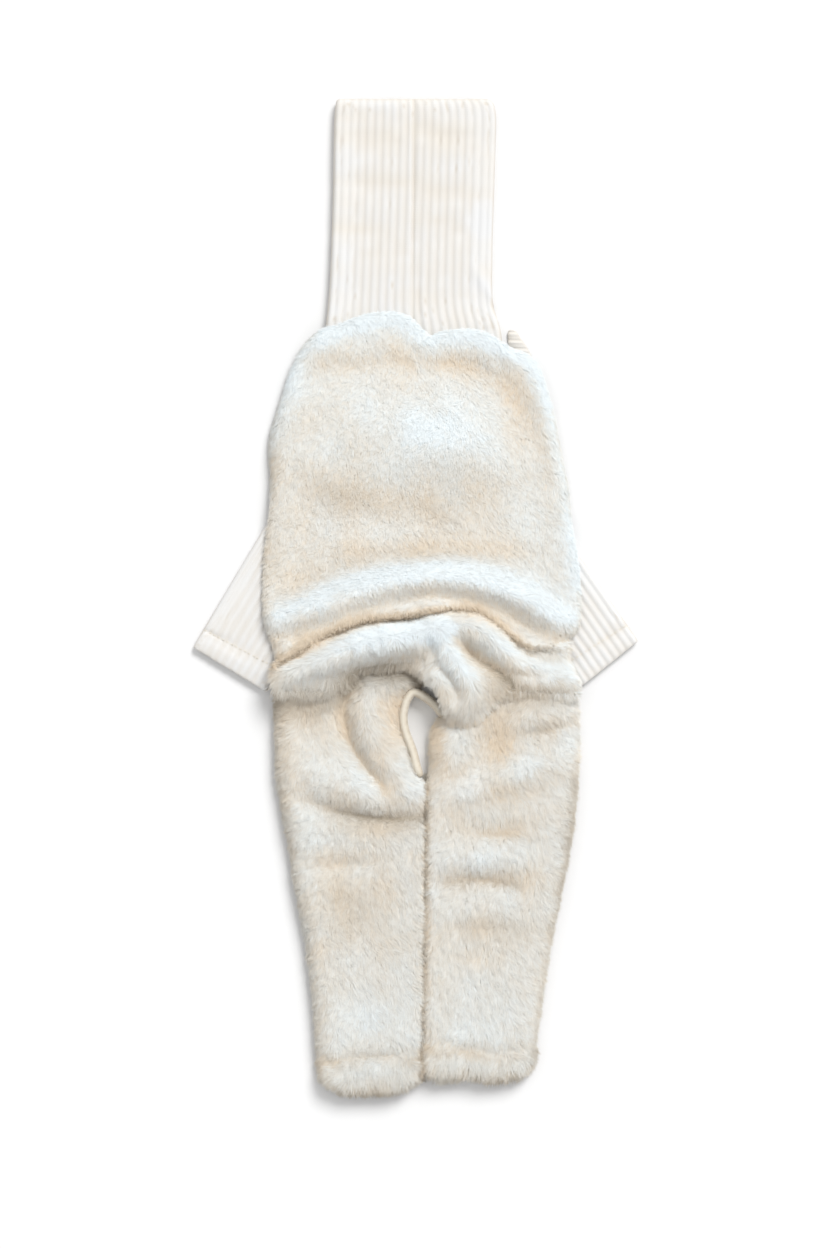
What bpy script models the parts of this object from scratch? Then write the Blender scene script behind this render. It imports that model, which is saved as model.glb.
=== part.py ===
"""Plush one-piece romper with a tall rib neck, laid flat with its back up.

X runs across the garment, +Y towards the neck and +Z up from the surface it lies on. Tables and sizes are
in millimetres, and meshes are made in metres. Every piece of cloth is a closed wall. The neck, sleeves and
legs are flattened tubes, and the panels are sheets that lie on what is under them.
"""

import math
from typing import NamedTuple

import bmesh
import bpy
import numpy as np

MM = 0.001
COLLECTION_NAME = "plush_romper"

# Driving sizes
SEAM_GAP = 0.3
PLUSH_WALL = 5.5  # backing and pile together
PLUSH_EDGE_RADIUS = 8.0
RIM_HEIGHT = 2.4  # of a plush edge over what it lies on
RIB_WALL = 2.2
RIB_RISE = 0.8
NECK_WALL = 3.6  # two layers, because the neck is doubled over at its top
TUBE_SLIT = 0.6  # between the two sides of a flattened rib tube
FRONT_THICKNESS = 2.2
NECK_RIBS = 20
SLEEVE_RIBS = 10
LEG_HEIGHT = 14.0
LEG_EDGE_RADIUS = 11.0
LEG_MID_HEIGHT = 5.0
LEG_LIP = 0.55  # share of the height that is left at a leg's open ends
LEG_SLIT = 0.8  # least room inside a leg
LEG_ROOM = 3.4  # most room inside a leg, whose two sides lie on each other
LEG_TUCK, LEG_TUCK_LENGTH = 5.0, 14.0  # how a leg is pressed down under the seat
HEM_GROOVE = 2.6
BINDING_WIDTH = 4.4
BINDING_HEIGHT = 11.0
BINDING_LIP = 0.6
BINDING_SQUARENESS = 0.7  # 1 is an oval section, and less is squarer
BINDING_STATIONS = 26
BINDING_SIDES = 10
CREST_STARTS, CREST_ENDS = 0.32, 0.68  # of a rib, as shares of its pitch
SHOULDER_PITCH = 5.1
NECK_LIP = 0.55
NECK_SEAM_DEPTH = 0.5
PUCKER_DEPTH = 0.35
PUCKER_LENGTH = 34.0
SLEEVE_LIP = 0.7
SLEEVE_HEM = 12.0
STITCH_DEPTH, STITCH_REACH = 0.7, 2.0
CROWN_RISE = 4.5
BODY_BASE = 9.0
BODY_HALF_WIDTH = 100.0
RIDGE_BLEND = 3  # the higher it is, the less two ridges add up where they meet
SLOPE_STEP = 0.5
STEEPEST = 2.5  # square of the steepest slope that thickens a wall

# How far a covered layer is felt beyond its own edge
FRONT_MARGIN, FRONT_FALL = 3.0, 5.0
TUBE_MARGIN, TUBE_FALL = 4.0, 7.0

NECK_END = 152.0
SHOULDER_END = 111.2
LEG_START = -34.0
FRONT_END = -33.4
ARMHOLE_LEFT = -80.0
ARMHOLE_RIGHT = 86.0


class Sides(NamedTuple):
    """The left and right edge of a piece at one place along the garment."""

    y: float
    left: float
    right: float


class Edge(NamedTuple):
    """One point of an edge that runs across the garment."""

    x: float
    y: float


class Crest(NamedTuple):
    """One point along a fold: a ridge has a positive rise and a crease a negative one."""

    x: float
    y: float
    rise: float


class Fold(NamedTuple):
    """A soft ridge or crease. Its two reaches are on the left and on the right of its route."""

    name: str
    left_reach: float
    right_reach: float
    route: tuple


class Finish(NamedTuple):
    """A cloth's colour and roughness."""

    name: str
    colour: tuple
    roughness: float


PLUSH = Finish("plush", (0.84, 0.80, 0.72, 1.0), 0.95)
RIB = Finish("rib_knit", (0.90, 0.87, 0.80, 1.0), 0.9)
TAPE = Finish("binding_tape", (0.87, 0.83, 0.72, 1.0), 0.85)

NECK_SIDES = (
    Sides(309.5, -49.5, 46.5),
    Sides(305.0, -50.4, 50.4),
    Sides(299.0, -51.1, 51.1),
    Sides(278.0, -51.4, 50.2),
    Sides(245.0, -51.8, 49.3),
    Sides(223.0, -52.7, 48.4),
    Sides(196.0, -53.6, 48.2),
    Sides(184.0, -54.8, 47.9),
    Sides(176.0, -55.5, 50.0),
    Sides(169.0, -56.4, 53.6),
    Sides(152.0, -57.0, 55.0),
)

BODY_SIDES = (
    Sides(149.5, -73.0, 74.0),
    Sides(143.0, -76.6, 76.7),
    Sides(126.0, -82.2, 82.4),
    Sides(115.0, -85.9, 85.3),
    Sides(103.0, -89.8, 87.7),
    Sides(91.0, -90.8, 90.0),
    Sides(79.0, -89.6, 92.3),
    Sides(65.0, -89.4, 95.2),
    Sides(55.0, -89.6, 95.4),
    Sides(38.0, -92.0, 97.7),
    Sides(29.0, -92.9, 99.7),
    Sides(8.0, -93.9, 101.4),
    Sides(-6.0, -93.9, 102.0),
    Sides(-18.0, -92.6, 100.9),
    Sides(-26.0, -89.0, 94.0),
    Sides(-34.0, -86.2, 93.6),
    Sides(-42.5, -86.0, 96.4),
    Sides(-51.0, -86.3, 98.9),
    Sides(-60.0, -86.3, 99.2),
)

SCALLOP = (
    Edge(-73.0, 149.5),
    Edge(-70.6, 155.3),
    Edge(-64.2, 162.8),
    Edge(-55.7, 167.7),
    Edge(-46.8, 169.6),
    Edge(-39.4, 172.7),
    Edge(-30.7, 175.8),
    Edge(-22.6, 177.0),
    Edge(-14.6, 177.6),
    Edge(-5.9, 175.4),
    Edge(-0.3, 172.1),
    Edge(4.0, 166.5),
    Edge(9.0, 161.5),
    Edge(13.3, 164.0),
    Edge(23.2, 166.5),
    Edge(33.8, 166.5),
    Edge(43.7, 164.6),
    Edge(50.5, 160.5),
    Edge(57.1, 155.9),
    Edge(67.3, 152.5),
    Edge(74.0, 148.0),
)

WAIST_SEAM = (
    Edge(-86.2, -41.0),
    Edge(-77.0, -38.0),
    Edge(-68.0, -32.0),
    Edge(-57.0, -25.0),
    Edge(-43.0, -19.5),
    Edge(-32.5, -15.5),
    Edge(-18.0, -13.3),
    Edge(-4.0, -12.8),
    Edge(12.7, -9.0),
    Edge(22.0, -7.4),
    Edge(34.0, -7.8),
    Edge(42.0, -10.8),
    Edge(50.0, -16.0),
    Edge(58.0, -23.5),
    Edge(66.0, -30.0),
    Edge(76.0, -31.5),
    Edge(93.0, -27.0),
)

SEAT_EDGE = (
    Edge(-86.0, -53.6),
    Edge(-70.0, -55.6),
    Edge(-54.0, -55.0),
    Edge(-46.8, -50.5),
    Edge(-39.4, -45.4),
    Edge(-32.5, -41.2),
    Edge(-22.0, -39.2),
    Edge(-7.8, -38.8),
    Edge(-0.3, -42.0),
    Edge(5.0, -48.5),
    Edge(10.5, -58.5),
    Edge(17.7, -69.3),
    Edge(24.0, -73.6),
    Edge(30.1, -74.7),
    Edge(38.8, -70.7),
    Edge(45.6, -62.9),
    Edge(54.0, -56.0),
    Edge(70.0, -55.5),
    Edge(85.0, -57.0),
    Edge(99.0, -58.6),
)

FRONT_SIDES = (
    Sides(151.5, -57.0, 55.6),
    Sides(111.0, -57.4, 56.2),
    Sides(110.8, -79.0, 80.5),
    Sides(105.0, -80.0, 81.0),
    Sides(90.0, -80.0, 84.0),
    Sides(72.0, ARMHOLE_LEFT, ARMHOLE_RIGHT),
    Sides(FRONT_END, ARMHOLE_LEFT, ARMHOLE_RIGHT),
)

LEFT_SHOULDER_SIDES = (
    Sides(162.0, -60.8, -59.0),
    Sides(157.0, -65.0, -58.4),
    Sides(150.0, -68.5, -58.2),
    Sides(143.0, -71.5, -58.2),
    Sides(135.0, -74.5, -58.2),
    Sides(126.0, -77.0, -58.2),
    Sides(111.2, -79.0, -58.2),
)

RIGHT_SHOULDER_SIDES = (
    Sides(167.6, 58.0, 60.0),
    Sides(166.0, 57.0, 62.9),
    Sides(162.0, 56.6, 65.6),
    Sides(156.6, 56.5, 69.8),
    Sides(150.0, 56.5, 73.7),
    Sides(143.0, 56.6, 77.2),
    Sides(135.0, 56.8, 80.6),
    Sides(126.0, 57.0, 83.4),
    Sides(119.0, 57.0, 81.5),
    Sides(111.2, 57.0, 80.5),
)

LEFT_LEG_SIDES = (
    Sides(LEG_START, -78.0, 7.2),
    Sides(-46.0, -82.0, 7.0),
    Sides(-50.0, -83.6, 5.8),
    Sides(-52.6, -85.2, 3.2),
    Sides(-54.2, -85.9, -2.4),
    Sides(-56.0, -85.9, -5.2),
    Sides(-59.0, -85.9, -7.6),
    Sides(-63.0, -85.9, -9.2),
    Sides(-68.0, -85.9, -10.3),
    Sides(-75.0, -85.9, -10.5),
    Sides(-81.5, -85.8, -9.2),
    Sides(-88.5, -85.7, -6.4),
    Sides(-95.5, -85.6, -3.8),
    Sides(-103.0, -85.4, -2.4),
    Sides(-109.0, -85.2, 0.0),
    Sides(-114.0, -84.3, 5.6),
    Sides(-120.0, -83.0, 6.6),
    Sides(-129.0, -81.5, 6.5),
    Sides(-155.0, -76.9, 6.1),
    Sides(-185.0, -72.2, 5.6),
    Sides(-207.0, -67.3, 5.3),
    Sides(-237.0, -63.5, 4.9),
    Sides(-261.0, -61.1, 4.5),
    Sides(-282.0, -59.6, 4.0),
    Sides(-298.0, -58.4, 2.6),
    Sides(-309.5, -54.0, -1.0),
)

RIGHT_LEG_SIDES = (
    Sides(LEG_START, 27.0, 86.0),
    Sides(-46.0, 27.0, 89.0),
    Sides(-50.0, 26.0, 92.0),
    Sides(-54.2, 24.6, 95.0),
    Sides(-59.0, 21.8, 98.6),
    Sides(-65.0, 20.2, 99.0),
    Sides(-71.5, 19.6, 99.5),
    Sides(-74.2, 16.0, 99.7),
    Sides(-76.5, 11.0, 99.8),
    Sides(-80.0, 10.0, 99.9),
    Sides(-89.0, 9.9, 100.1),
    Sides(-102.0, 10.3, 99.8),
    Sides(-109.0, 8.8, 99.3),
    Sides(-114.0, 7.5, 98.8),
    Sides(-120.0, 7.1, 98.3),
    Sides(-137.0, 6.9, 97.0),
    Sides(-162.0, 6.6, 92.7),
    Sides(-192.5, 6.1, 86.5),
    Sides(-222.0, 5.7, 80.3),
    Sides(-245.0, 5.4, 77.6),
    Sides(-267.5, 4.9, 74.0),
    Sides(-284.0, 4.6, 73.4),
    Sides(-293.6, 4.8, 72.2),
    Sides(-301.0, 7.5, 68.0),
)

# Columns: share of the leg's width from its left edge, and the y that its hem reaches there
LEFT_HEM = (
    Edge(0.0, -294.0),
    Edge(0.05, -303.0),
    Edge(0.14, -307.5),
    Edge(0.32, -309.5),
    Edge(0.6, -308.8),
    Edge(0.8, -306.8),
    Edge(0.94, -303.0),
    Edge(1.0, -294.0),
)
RIGHT_HEM = (
    Edge(0.0, -291.0),
    Edge(0.05, -297.0),
    Edge(0.16, -299.8),
    Edge(0.34, -298.4),
    Edge(0.46, -297.8),
    Edge(0.62, -300.6),
    Edge(0.85, -298.6),
    Edge(0.95, -295.0),
    Edge(1.0, -287.0),
)

BINDING_ROUTE = (
    Edge(16.4, -72.0),
    Edge(14.0, -67.0),
    Edge(9.0, -62.6),
    Edge(3.6, -58.8),
    Edge(-1.0, -57.0),
    Edge(-4.6, -60.4),
    Edge(-6.9, -66.0),
    Edge(-7.8, -73.5),
    Edge(-6.6, -81.0),
    Edge(-3.8, -88.5),
    Edge(-1.2, -96.0),
    Edge(0.4, -103.0),
    Edge(3.0, -109.0),
)

# fmt: off
BODY_FOLDS = (
    Fold("bulge", 27, 24, (Crest(-34, 103, 4), Crest(0, 99, 7), Crest(24, 95, 8), Crest(52, 84, 5))),
    Fold("left_chest", 26, 26, (Crest(-62, 120, 2), Crest(-66, 90, 2.5))),
    Fold("right_valley", 12, 12, (
        Crest(12, 150, -2), Crest(49, 133, -4), Crest(66, 103, -4), Crest(71, 75, -2),
    )),
    Fold("right_rim", 9, 9, (Crest(66, 142, 2), Crest(80, 112, 3), Crest(86, 80, 3), Crest(91, 45, 2))),
    Fold("left_valley", 13, 13, (Crest(-58, 140, -1.5), Crest(-30, 150, -2), Crest(-6, 154, -2.5))),
    Fold("low_trough", 12, 12, (
        Crest(-58, 66, -2.5), Crest(-20, 60, -3), Crest(8, 60, -3.5), Crest(38, 68, -2.5),
    )),
    Fold("dart", 3.5, 3.5, (Crest(9, 160, -3), Crest(10, 146, -1.5))),
    Fold("first_roll", 9.5, 9, (
        Crest(-96, -13, 7), Crest(-75, -11, 9), Crest(-57, -5, 12), Crest(-39, 1, 14),
        Crest(-22, 7, 15), Crest(-4, 10.5, 16), Crest(15, 12.5, 16), Crest(37, 10.5, 16),
        Crest(54, 5.5, 15), Crest(70, -2, 14), Crest(85, -12, 11), Crest(100, -16, 8),
    )),
    Fold("second_roll", 8, 10, (
        Crest(-90, -47, 8), Crest(-75, -43.5, 11), Crest(-56, -36.5, 14), Crest(-34, -28, 16),
        Crest(-16, -23.5, 17), Crest(-2, -21.5, 16), Crest(11, -17, 14),
    )),
    Fold("lobe", 10, 9, (
        Crest(11, -14, 13), Crest(15, -21, 16), Crest(20, -30, 17), Crest(26, -41, 17),
        Crest(32, -51, 17), Crest(34, -58, 16), Crest(30, -66, 13),
    )),
    Fold("right_arch", 7, 8, (
        Crest(20, -14, 11), Crest(34, -16.5, 13), Crest(44, -23, 13), Crest(53, -32.5, 12),
        Crest(63, -40, 10), Crest(76, -43, 9), Crest(92, -45, 7),
    )),
    Fold("second_crease", 4.5, 4.5, (
        Crest(22, -25, -4), Crest(33, -33, -8), Crest(44, -40, -8), Crest(56, -48, -5),
    )),
)

LEFT_LEG_FOLDS = (
    Fold("crescent", 8, 8, (Crest(-24, -56, 2), Crest(-28, -68, 4), Crest(-26, -82, 4), Crest(-14, -104, 3))),
    Fold("crescent_crease", 4.5, 5.5, (
        Crest(-33, -46, -2), Crest(-41, -58, -4), Crest(-44, -70, -4.5), Crest(-42, -81, -4.5),
        Crest(-36, -93, -4), Crest(-20, -115, -3), Crest(-13, -124, -1),
    )),
    Fold("knee_bulge", 11, 9, (
        Crest(-66, -104, 2), Crest(-46, -114, 4.5), Crest(-26, -121, 4.5), Crest(-8, -121, 2),
    )),
    Fold("knee_crease", 4, 5, (
        Crest(-69, -122, -2), Crest(-50, -130, -4), Crest(-21, -135, -4.5), Crest(1, -132, -3),
    )),
    Fold("shin_swell", 10, 10, (Crest(-62, -148, 1.5), Crest(-20, -152, 1.5))),
    Fold("shin_wrinkle", 5, 5, (Crest(-66, -165, -1.5), Crest(-36, -161, -1.5))),
    Fold("calf_dip", 8, 8, (Crest(-44, -197, -1.5), Crest(-30, -199, -1))),
    Fold("hem_groove", HEM_GROOVE, HEM_GROOVE, (
        Crest(-62, -285.5, -2.5), Crest(-46, -285, -3), Crest(-36, -281, -3), Crest(-15, -281, -3),
        Crest(5, -280, -2.5),
    )),
)

RIGHT_LEG_FOLDS = (
    Fold("hip_bulge", 13, 13, (Crest(64, -72, 3), Crest(80, -70, 4), Crest(92, -66, 2))),
    Fold("hip_crease", 3.5, 4, (Crest(70, -81, -2), Crest(96, -77.5, -2.5))),
    Fold("inner_valley", 8, 8, (
        Crest(57, -62, -2), Crest(50, -80, -3.5), Crest(43, -96, -3.5), Crest(34, -110, -2),
    )),
    Fold("inner_bulge", 8, 8, (Crest(30, -82, 2.5), Crest(22, -100, 2.5))),
    Fold("thigh_ridge", 6.5, 7.5, (Crest(26, -120, 2.5), Crest(58, -108.5, 4.5), Crest(90, -98, 2.5))),
    Fold("thigh_crease", 5, 5, (Crest(28, -144, -2.5), Crest(47, -145, -3.5), Crest(66, -143, -2))),
    Fold("knee_swell", 8, 8, (Crest(18, -160, 2), Crest(42, -158, 3), Crest(66, -160, 2))),
    Fold("knee_crease", 4.5, 5, (Crest(18, -173, -3.5), Crest(40, -171.5, -5), Crest(63, -176, -3))),
    Fold("calf_wrinkle", 5, 5, (Crest(27, -201, -2), Crest(46, -200, -1.5))),
    Fold("shin_wrinkle", 5, 5, (Crest(24, -219, -1.5), Crest(42, -218, -1.5))),
    Fold("hem_groove", HEM_GROOVE, HEM_GROOVE, (
        Crest(4, -275.5, -2.5), Crest(26, -275.6, -3), Crest(40, -280, -3), Crest(52, -282, -3),
        Crest(76, -277, -2.5),
    )),
)
# fmt: on


class Sleeve(NamedTuple):
    """A short sleeve: its two hem corners, the way it runs up from them, and its armhole's x."""

    name: str
    outer_corner: tuple
    inner_corner: tuple
    run: tuple
    armhole: float


LEFT_SLEEVE = Sleeve("sleeve_left", (-138.3, -29.5), (-91.8, -57.6), (0.51, 0.86), ARMHOLE_LEFT - SEAM_GAP)
RIGHT_SLEEVE = Sleeve("sleeve_right", (138.3, -25.5), (99.6, -56.4), (-0.57, 0.82), ARMHOLE_RIGHT + SEAM_GAP)

# How points are shared out over a piece: rows as y, or as shares of a length, and shares of a width
# fmt: off
RIM_SHARES = (0.0, 0.008, 0.022, 0.045)
RIB_UNDER_SHARES = (0.97, 0.88, 0.7, 0.5, 0.3, 0.12, 0.03)
FRONT_SHARES = (0.0, 0.015, 0.1, 0.25, 0.42, 0.58, 0.75, 0.9, 0.985, 1.0)
FRONT_ROWS = (151.5, 149.5, 130.0, 111.0, 110.8, 104.0, 88.0, 60.0, 25.0, -10.0, -30.0, FRONT_END)
SHOULDER_SHARES = (0.0, 0.06, 0.5, 0.94, 1.0)
NECK_ROWS = (309.5, 306.5, 299.0, 278.0, 262.0, 245.0, 223.0, 205.0, 190.0, 178.0, 168.0, 157.0, NECK_END)
SLEEVE_ROWS = (0.0, 0.02, 0.1, 0.13, 0.16, 0.4, 0.7, 1.0)
LEG_TOP_SHARES = (
    0.0, 0.018, 0.055, 0.11, 0.19, 0.28, 0.38, 0.48, 0.58, 0.68, 0.77, 0.85, 0.91, 0.955, 0.985, 1.0,
)
LEG_UNDER_SHARES = (0.95, 0.86, 0.68, 0.5, 0.32, 0.14, 0.05)
LEG_ROWS = (
    LEG_START, -38, -42, -46, -50, -54, -58, -63, -68, -73, -78, -84, -91, -98, -105, -112, -119, -125,
    -131, -137, -145, -154, -163, -172, -181, -194, -210, -232, -256, -271, -277, -282, -288, -297, -304,
    -309.5,
)
# fmt: on


def smooth_line(stations, values):
    """A function that runs smoothly through the given values and never overshoots them."""
    order = np.argsort(stations)
    s = np.array(stations, float)[order]
    v = np.array(values, float)[order]
    step = np.diff(v) / np.diff(s)
    product = step[:-1] * step[1:]
    total = np.where(product > 0, step[:-1] + step[1:], 1.0)
    inner = np.where(product > 0, 2 * product / total, 0.0)
    slope = np.concatenate([step[:1], inner, step[-1:]])

    def at(x):
        x = np.clip(np.asarray(x, float), s[0], s[-1])
        k = np.clip(np.searchsorted(s, x) - 1, 0, len(s) - 2)
        h = s[k + 1] - s[k]
        t = (x - s[k]) / h
        rise = v[k + 1] - v[k]
        curve = h * slope[k] * t * (1 - t) ** 2 - h * slope[k + 1] * t * t * (1 - t)
        return v[k] + rise * (3 * t * t - 2 * t**3) + curve

    return at


def side_lines(rows):
    """The left and right edge of a piece as functions of y."""
    ys = [row.y for row in rows]
    return smooth_line(ys, [row.left for row in rows]), smooth_line(ys, [row.right for row in rows])


def edge_line(points):
    """An edge across the garment as a function of x."""
    return smooth_line([point.x for point in points], [point.y for point in points])


def fold_relief(folds, x, y):
    """How far the folds raise or lower the cloth. Ridges that meet blend, and don't pile up."""
    x, y = np.broadcast_arrays(np.asarray(x, float), np.asarray(y, float))
    ridges = np.zeros(x.shape)
    creases = np.zeros(x.shape)
    for fold in folds:
        nearest = np.full(x.shape, np.inf)
        height = np.zeros(x.shape)
        side = np.zeros(x.shape)
        for start, end in zip(fold.route, fold.route[1:]):
            dx, dy = end.x - start.x, end.y - start.y
            share = np.clip(((x - start.x) * dx + (y - start.y) * dy) / (dx * dx + dy * dy), 0, 1)
            off_x, off_y = x - start.x - share * dx, y - start.y - share * dy
            distance = np.hypot(off_x, off_y)
            closer = distance < nearest
            nearest = np.where(closer, distance, nearest)
            height = np.where(closer, start.rise + share * (end.rise - start.rise), height)
            side = np.where(closer, dx * off_y - dy * off_x, side)
        reach = np.where(side > 0, fold.left_reach, fold.right_reach)
        relief = height * np.exp(-((nearest / reach) ** 2))
        ridges += np.maximum(relief, 0) ** RIDGE_BLEND
        creases += np.minimum(relief, 0)
    return ridges ** (1 / RIDGE_BLEND) + creases


def rounded(distance, radius):
    """0 at an edge, rising as a quarter circle to 1 at the radius."""
    inward = np.clip(np.asarray(distance, float) / radius, 0, 1)
    return np.sqrt(np.clip(1 - (1 - inward) ** 2, 0, 1))


def fall_off(distance, margin, fall):
    """1 inside an edge and on its margin outside, falling to 0 over the distance after that."""
    return np.clip((np.asarray(distance, float) + margin + fall) / fall, 0, 1)


def steepness(surface, x, y):
    """How much longer a wall is measured straight up than square to its surface."""
    slope_x = (surface(x + SLOPE_STEP, y) - surface(x - SLOPE_STEP, y)) / (2 * SLOPE_STEP)
    slope_y = (surface(x, y + SLOPE_STEP) - surface(x, y - SLOPE_STEP)) / (2 * SLOPE_STEP)
    return np.sqrt(1 + np.minimum(slope_x**2 + slope_y**2, STEEPEST))


NECK_LEFT, NECK_RIGHT = side_lines(NECK_SIDES)
BODY_LEFT, BODY_RIGHT = side_lines(BODY_SIDES)
FRONT_LEFT, FRONT_RIGHT = side_lines(FRONT_SIDES)
LEFT_SHOULDER, RIGHT_SHOULDER = side_lines(LEFT_SHOULDER_SIDES), side_lines(RIGHT_SHOULDER_SIDES)
LEFT_LEG, RIGHT_LEG = side_lines(LEFT_LEG_SIDES), side_lines(RIGHT_LEG_SIDES)
SCALLOP_LINE = edge_line(SCALLOP)
WAIST_LINE = edge_line(WAIST_SEAM)
SEAT_LINE = edge_line(SEAT_EDGE)
NECK_HEIGHT = 2 * NECK_WALL + TUBE_SLIT + RIB_RISE
SLEEVE_HEIGHT = 2 * RIB_WALL + TUBE_SLIT + RIB_RISE


def sleeve_place(sleeve, x, y):
    """How far each point lies inside a sleeve's outline."""
    start = np.array(sleeve.outer_corner)
    hem = np.array(sleeve.inner_corner) - start
    width = np.hypot(*hem)
    across, up = hem / width, np.array(sleeve.run)
    back = np.linalg.inv(np.column_stack([across, up]))
    w = back[0, 0] * (x - start[0]) + back[0, 1] * (y - start[1])
    t = back[1, 0] * (x - start[0]) + back[1, 1] * (y - start[1])
    to_armhole = (sleeve.armhole - x) * np.sign(sleeve.armhole - start[0])
    return np.minimum.reduce([w, width - w, t, to_armhole + TUBE_FALL])


def support(x, y):
    """The height that the back and the seat lie on: the floor, or just over the layers between."""
    x, y = np.broadcast_arrays(np.asarray(x, float), np.asarray(y, float))
    in_front = np.minimum.reduce([x - FRONT_LEFT(y), FRONT_RIGHT(y) - x, y - FRONT_END])
    height = (FRONT_THICKNESS + SEAM_GAP) * fall_off(in_front, FRONT_MARGIN, FRONT_FALL)
    for left, right in (LEFT_SHOULDER, RIGHT_SHOULDER):
        inside = np.minimum.reduce([x - left(y), right(y) - x, y - SHOULDER_END])
        shoulder = (FRONT_THICKNESS + RIB_RISE + SEAM_GAP) * fall_off(inside, FRONT_MARGIN, FRONT_FALL)
        height = np.maximum(height, shoulder)
    in_neck = np.minimum.reduce([x - NECK_LEFT(y), NECK_RIGHT(y) - x, y - NECK_END])
    height = np.maximum(height, (NECK_HEIGHT + SEAM_GAP) * fall_off(in_neck, TUBE_MARGIN, TUBE_FALL))
    for sleeve in (LEFT_SLEEVE, RIGHT_SLEEVE):
        inside = sleeve_place(sleeve, x, y)
        height = np.maximum(height, (SLEEVE_HEIGHT + SEAM_GAP) * fall_off(inside, TUBE_MARGIN, TUBE_FALL))
    on_legs = np.minimum.reduce([LEG_START - y, x - LEFT_LEG[0](y), RIGHT_LEG[1](y) - x])
    legs = (leg_ceiling(x, y) + SEAM_GAP) * fall_off(on_legs, TUBE_MARGIN, TUBE_FALL)
    return np.maximum(height, legs)


def body_surface(x, y):
    """The pile's top over the back and the seat."""
    crown = CROWN_RISE * np.clip(1 - (x / BODY_HALF_WIDTH) ** 2, 0, 1)
    height = BODY_BASE + crown + fold_relief(BODY_FOLDS, x, y)
    return np.maximum(height, support(x, y) + PLUSH_WALL)


def leg_surface(folds, x, y):
    """The pile's top over a leg, lower where it runs in under the seat."""
    under_seat = (np.asarray(y, float) - LEG_START + LEG_TUCK_LENGTH) / LEG_TUCK_LENGTH
    return LEG_HEIGHT - LEG_TUCK * np.clip(under_seat, 0, 1) + fold_relief(folds, x, y)


def leg_ceiling(x, y):
    """The higher of the two legs' surfaces, which the seat has to clear."""
    return np.maximum(leg_surface(LEFT_LEG_FOLDS, x, y), leg_surface(RIGHT_LEG_FOLDS, x, y))


def across_shares(count):
    """Shares of a panel's width, closer together at its rims."""
    first = RIM_SHARES[-1]
    middle = np.linspace(first, 1 - first, count)
    rim = np.array(RIM_SHARES[:-1])
    return np.concatenate([rim, middle, 1 - rim[::-1]])


def panel_plan(left, right, top, bottom, columns, rows):
    """Points of a panel in plan: row 0 on its top edge, and column 0 on its left edge."""
    u, v = np.meshgrid(columns, rows)
    y = 0.5 * (top(0 * u) + bottom(0 * u)) + 0 * v
    for _ in range(12):
        x = left(y) + u * (right(y) - left(y))
        y = top(x) + v * (bottom(x) - top(x))
    return x, y


def add_object(name, finish, bm, collection):
    """Closes a bmesh into an object with its own material."""
    bmesh.ops.recalc_face_normals(bm, faces=bm.faces[:])
    if bm.calc_volume(signed=True) < 0:
        bmesh.ops.reverse_faces(bm, faces=bm.faces[:])
    mesh = bpy.data.meshes.new(name)
    bm.to_mesh(mesh)
    bm.free()
    mesh.shade_smooth()
    material = bpy.data.materials.new(f"{name}_{finish.name}")
    material.use_nodes = True
    shader = material.node_tree.nodes["Principled BSDF"]
    shader.inputs["Base Color"].default_value = finish.colour
    shader.inputs["Roughness"].default_value = finish.roughness
    shader.inputs["Metallic"].default_value = 0.0
    mesh.materials.append(material)
    piece = bpy.data.objects.new(name, mesh)
    collection.objects.link(piece)
    return piece


def sheet(name, finish, x, y, upper, lower, collection):
    """A closed sheet between an upper and a lower surface that meet all round its rim."""
    rows, columns = x.shape
    bm = bmesh.new()

    def vertex(i, j, height):
        return bm.verts.new((x[i, j] * MM, y[i, j] * MM, height[i, j] * MM))

    top = [[vertex(i, j, upper) for j in range(columns)] for i in range(rows)]
    under = [line[:] for line in top]
    for i in range(1, rows - 1):
        for j in range(1, columns - 1):
            under[i][j] = vertex(i, j, lower)
    for i in range(rows - 1):
        for j in range(columns - 1):
            bm.faces.new((top[i][j], top[i + 1][j], top[i + 1][j + 1], top[i][j + 1]))
            bm.faces.new((under[i][j], under[i][j + 1], under[i + 1][j + 1], under[i + 1][j]))
    return add_object(name, finish, bm, collection)


def tube(name, finish, outer, inner, anchors, collection):
    """An open-ended tube wall. Each inner point faces the outer point that anchors names.

    A ring's points between two anchors, such as a rib's crest, have the inner wall's straight run behind
    them.
    """
    bm = bmesh.new()

    def ring_of(points):
        return [bm.verts.new(tuple(point * MM)) for point in points]

    rings = [[ring_of(points) for points in wall] for wall in (outer, inner)]
    for wall in rings:
        for first, second in zip(wall, wall[1:]):
            for k in range(len(first)):
                n = (k + 1) % len(first)
                bm.faces.new((first[k], first[n], second[n], second[k]))
    for end in (0, -1):
        out, back = rings[0][end], rings[1][end]
        for k, start in enumerate(anchors):
            n = (k + 1) % len(anchors)
            stop = anchors[n] if n else len(out)
            run = [out[i % len(out)] for i in range(start, stop + 1)]
            bm.faces.new(run + [back[n], back[k]])
    return add_object(name, finish, bm, collection)


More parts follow.
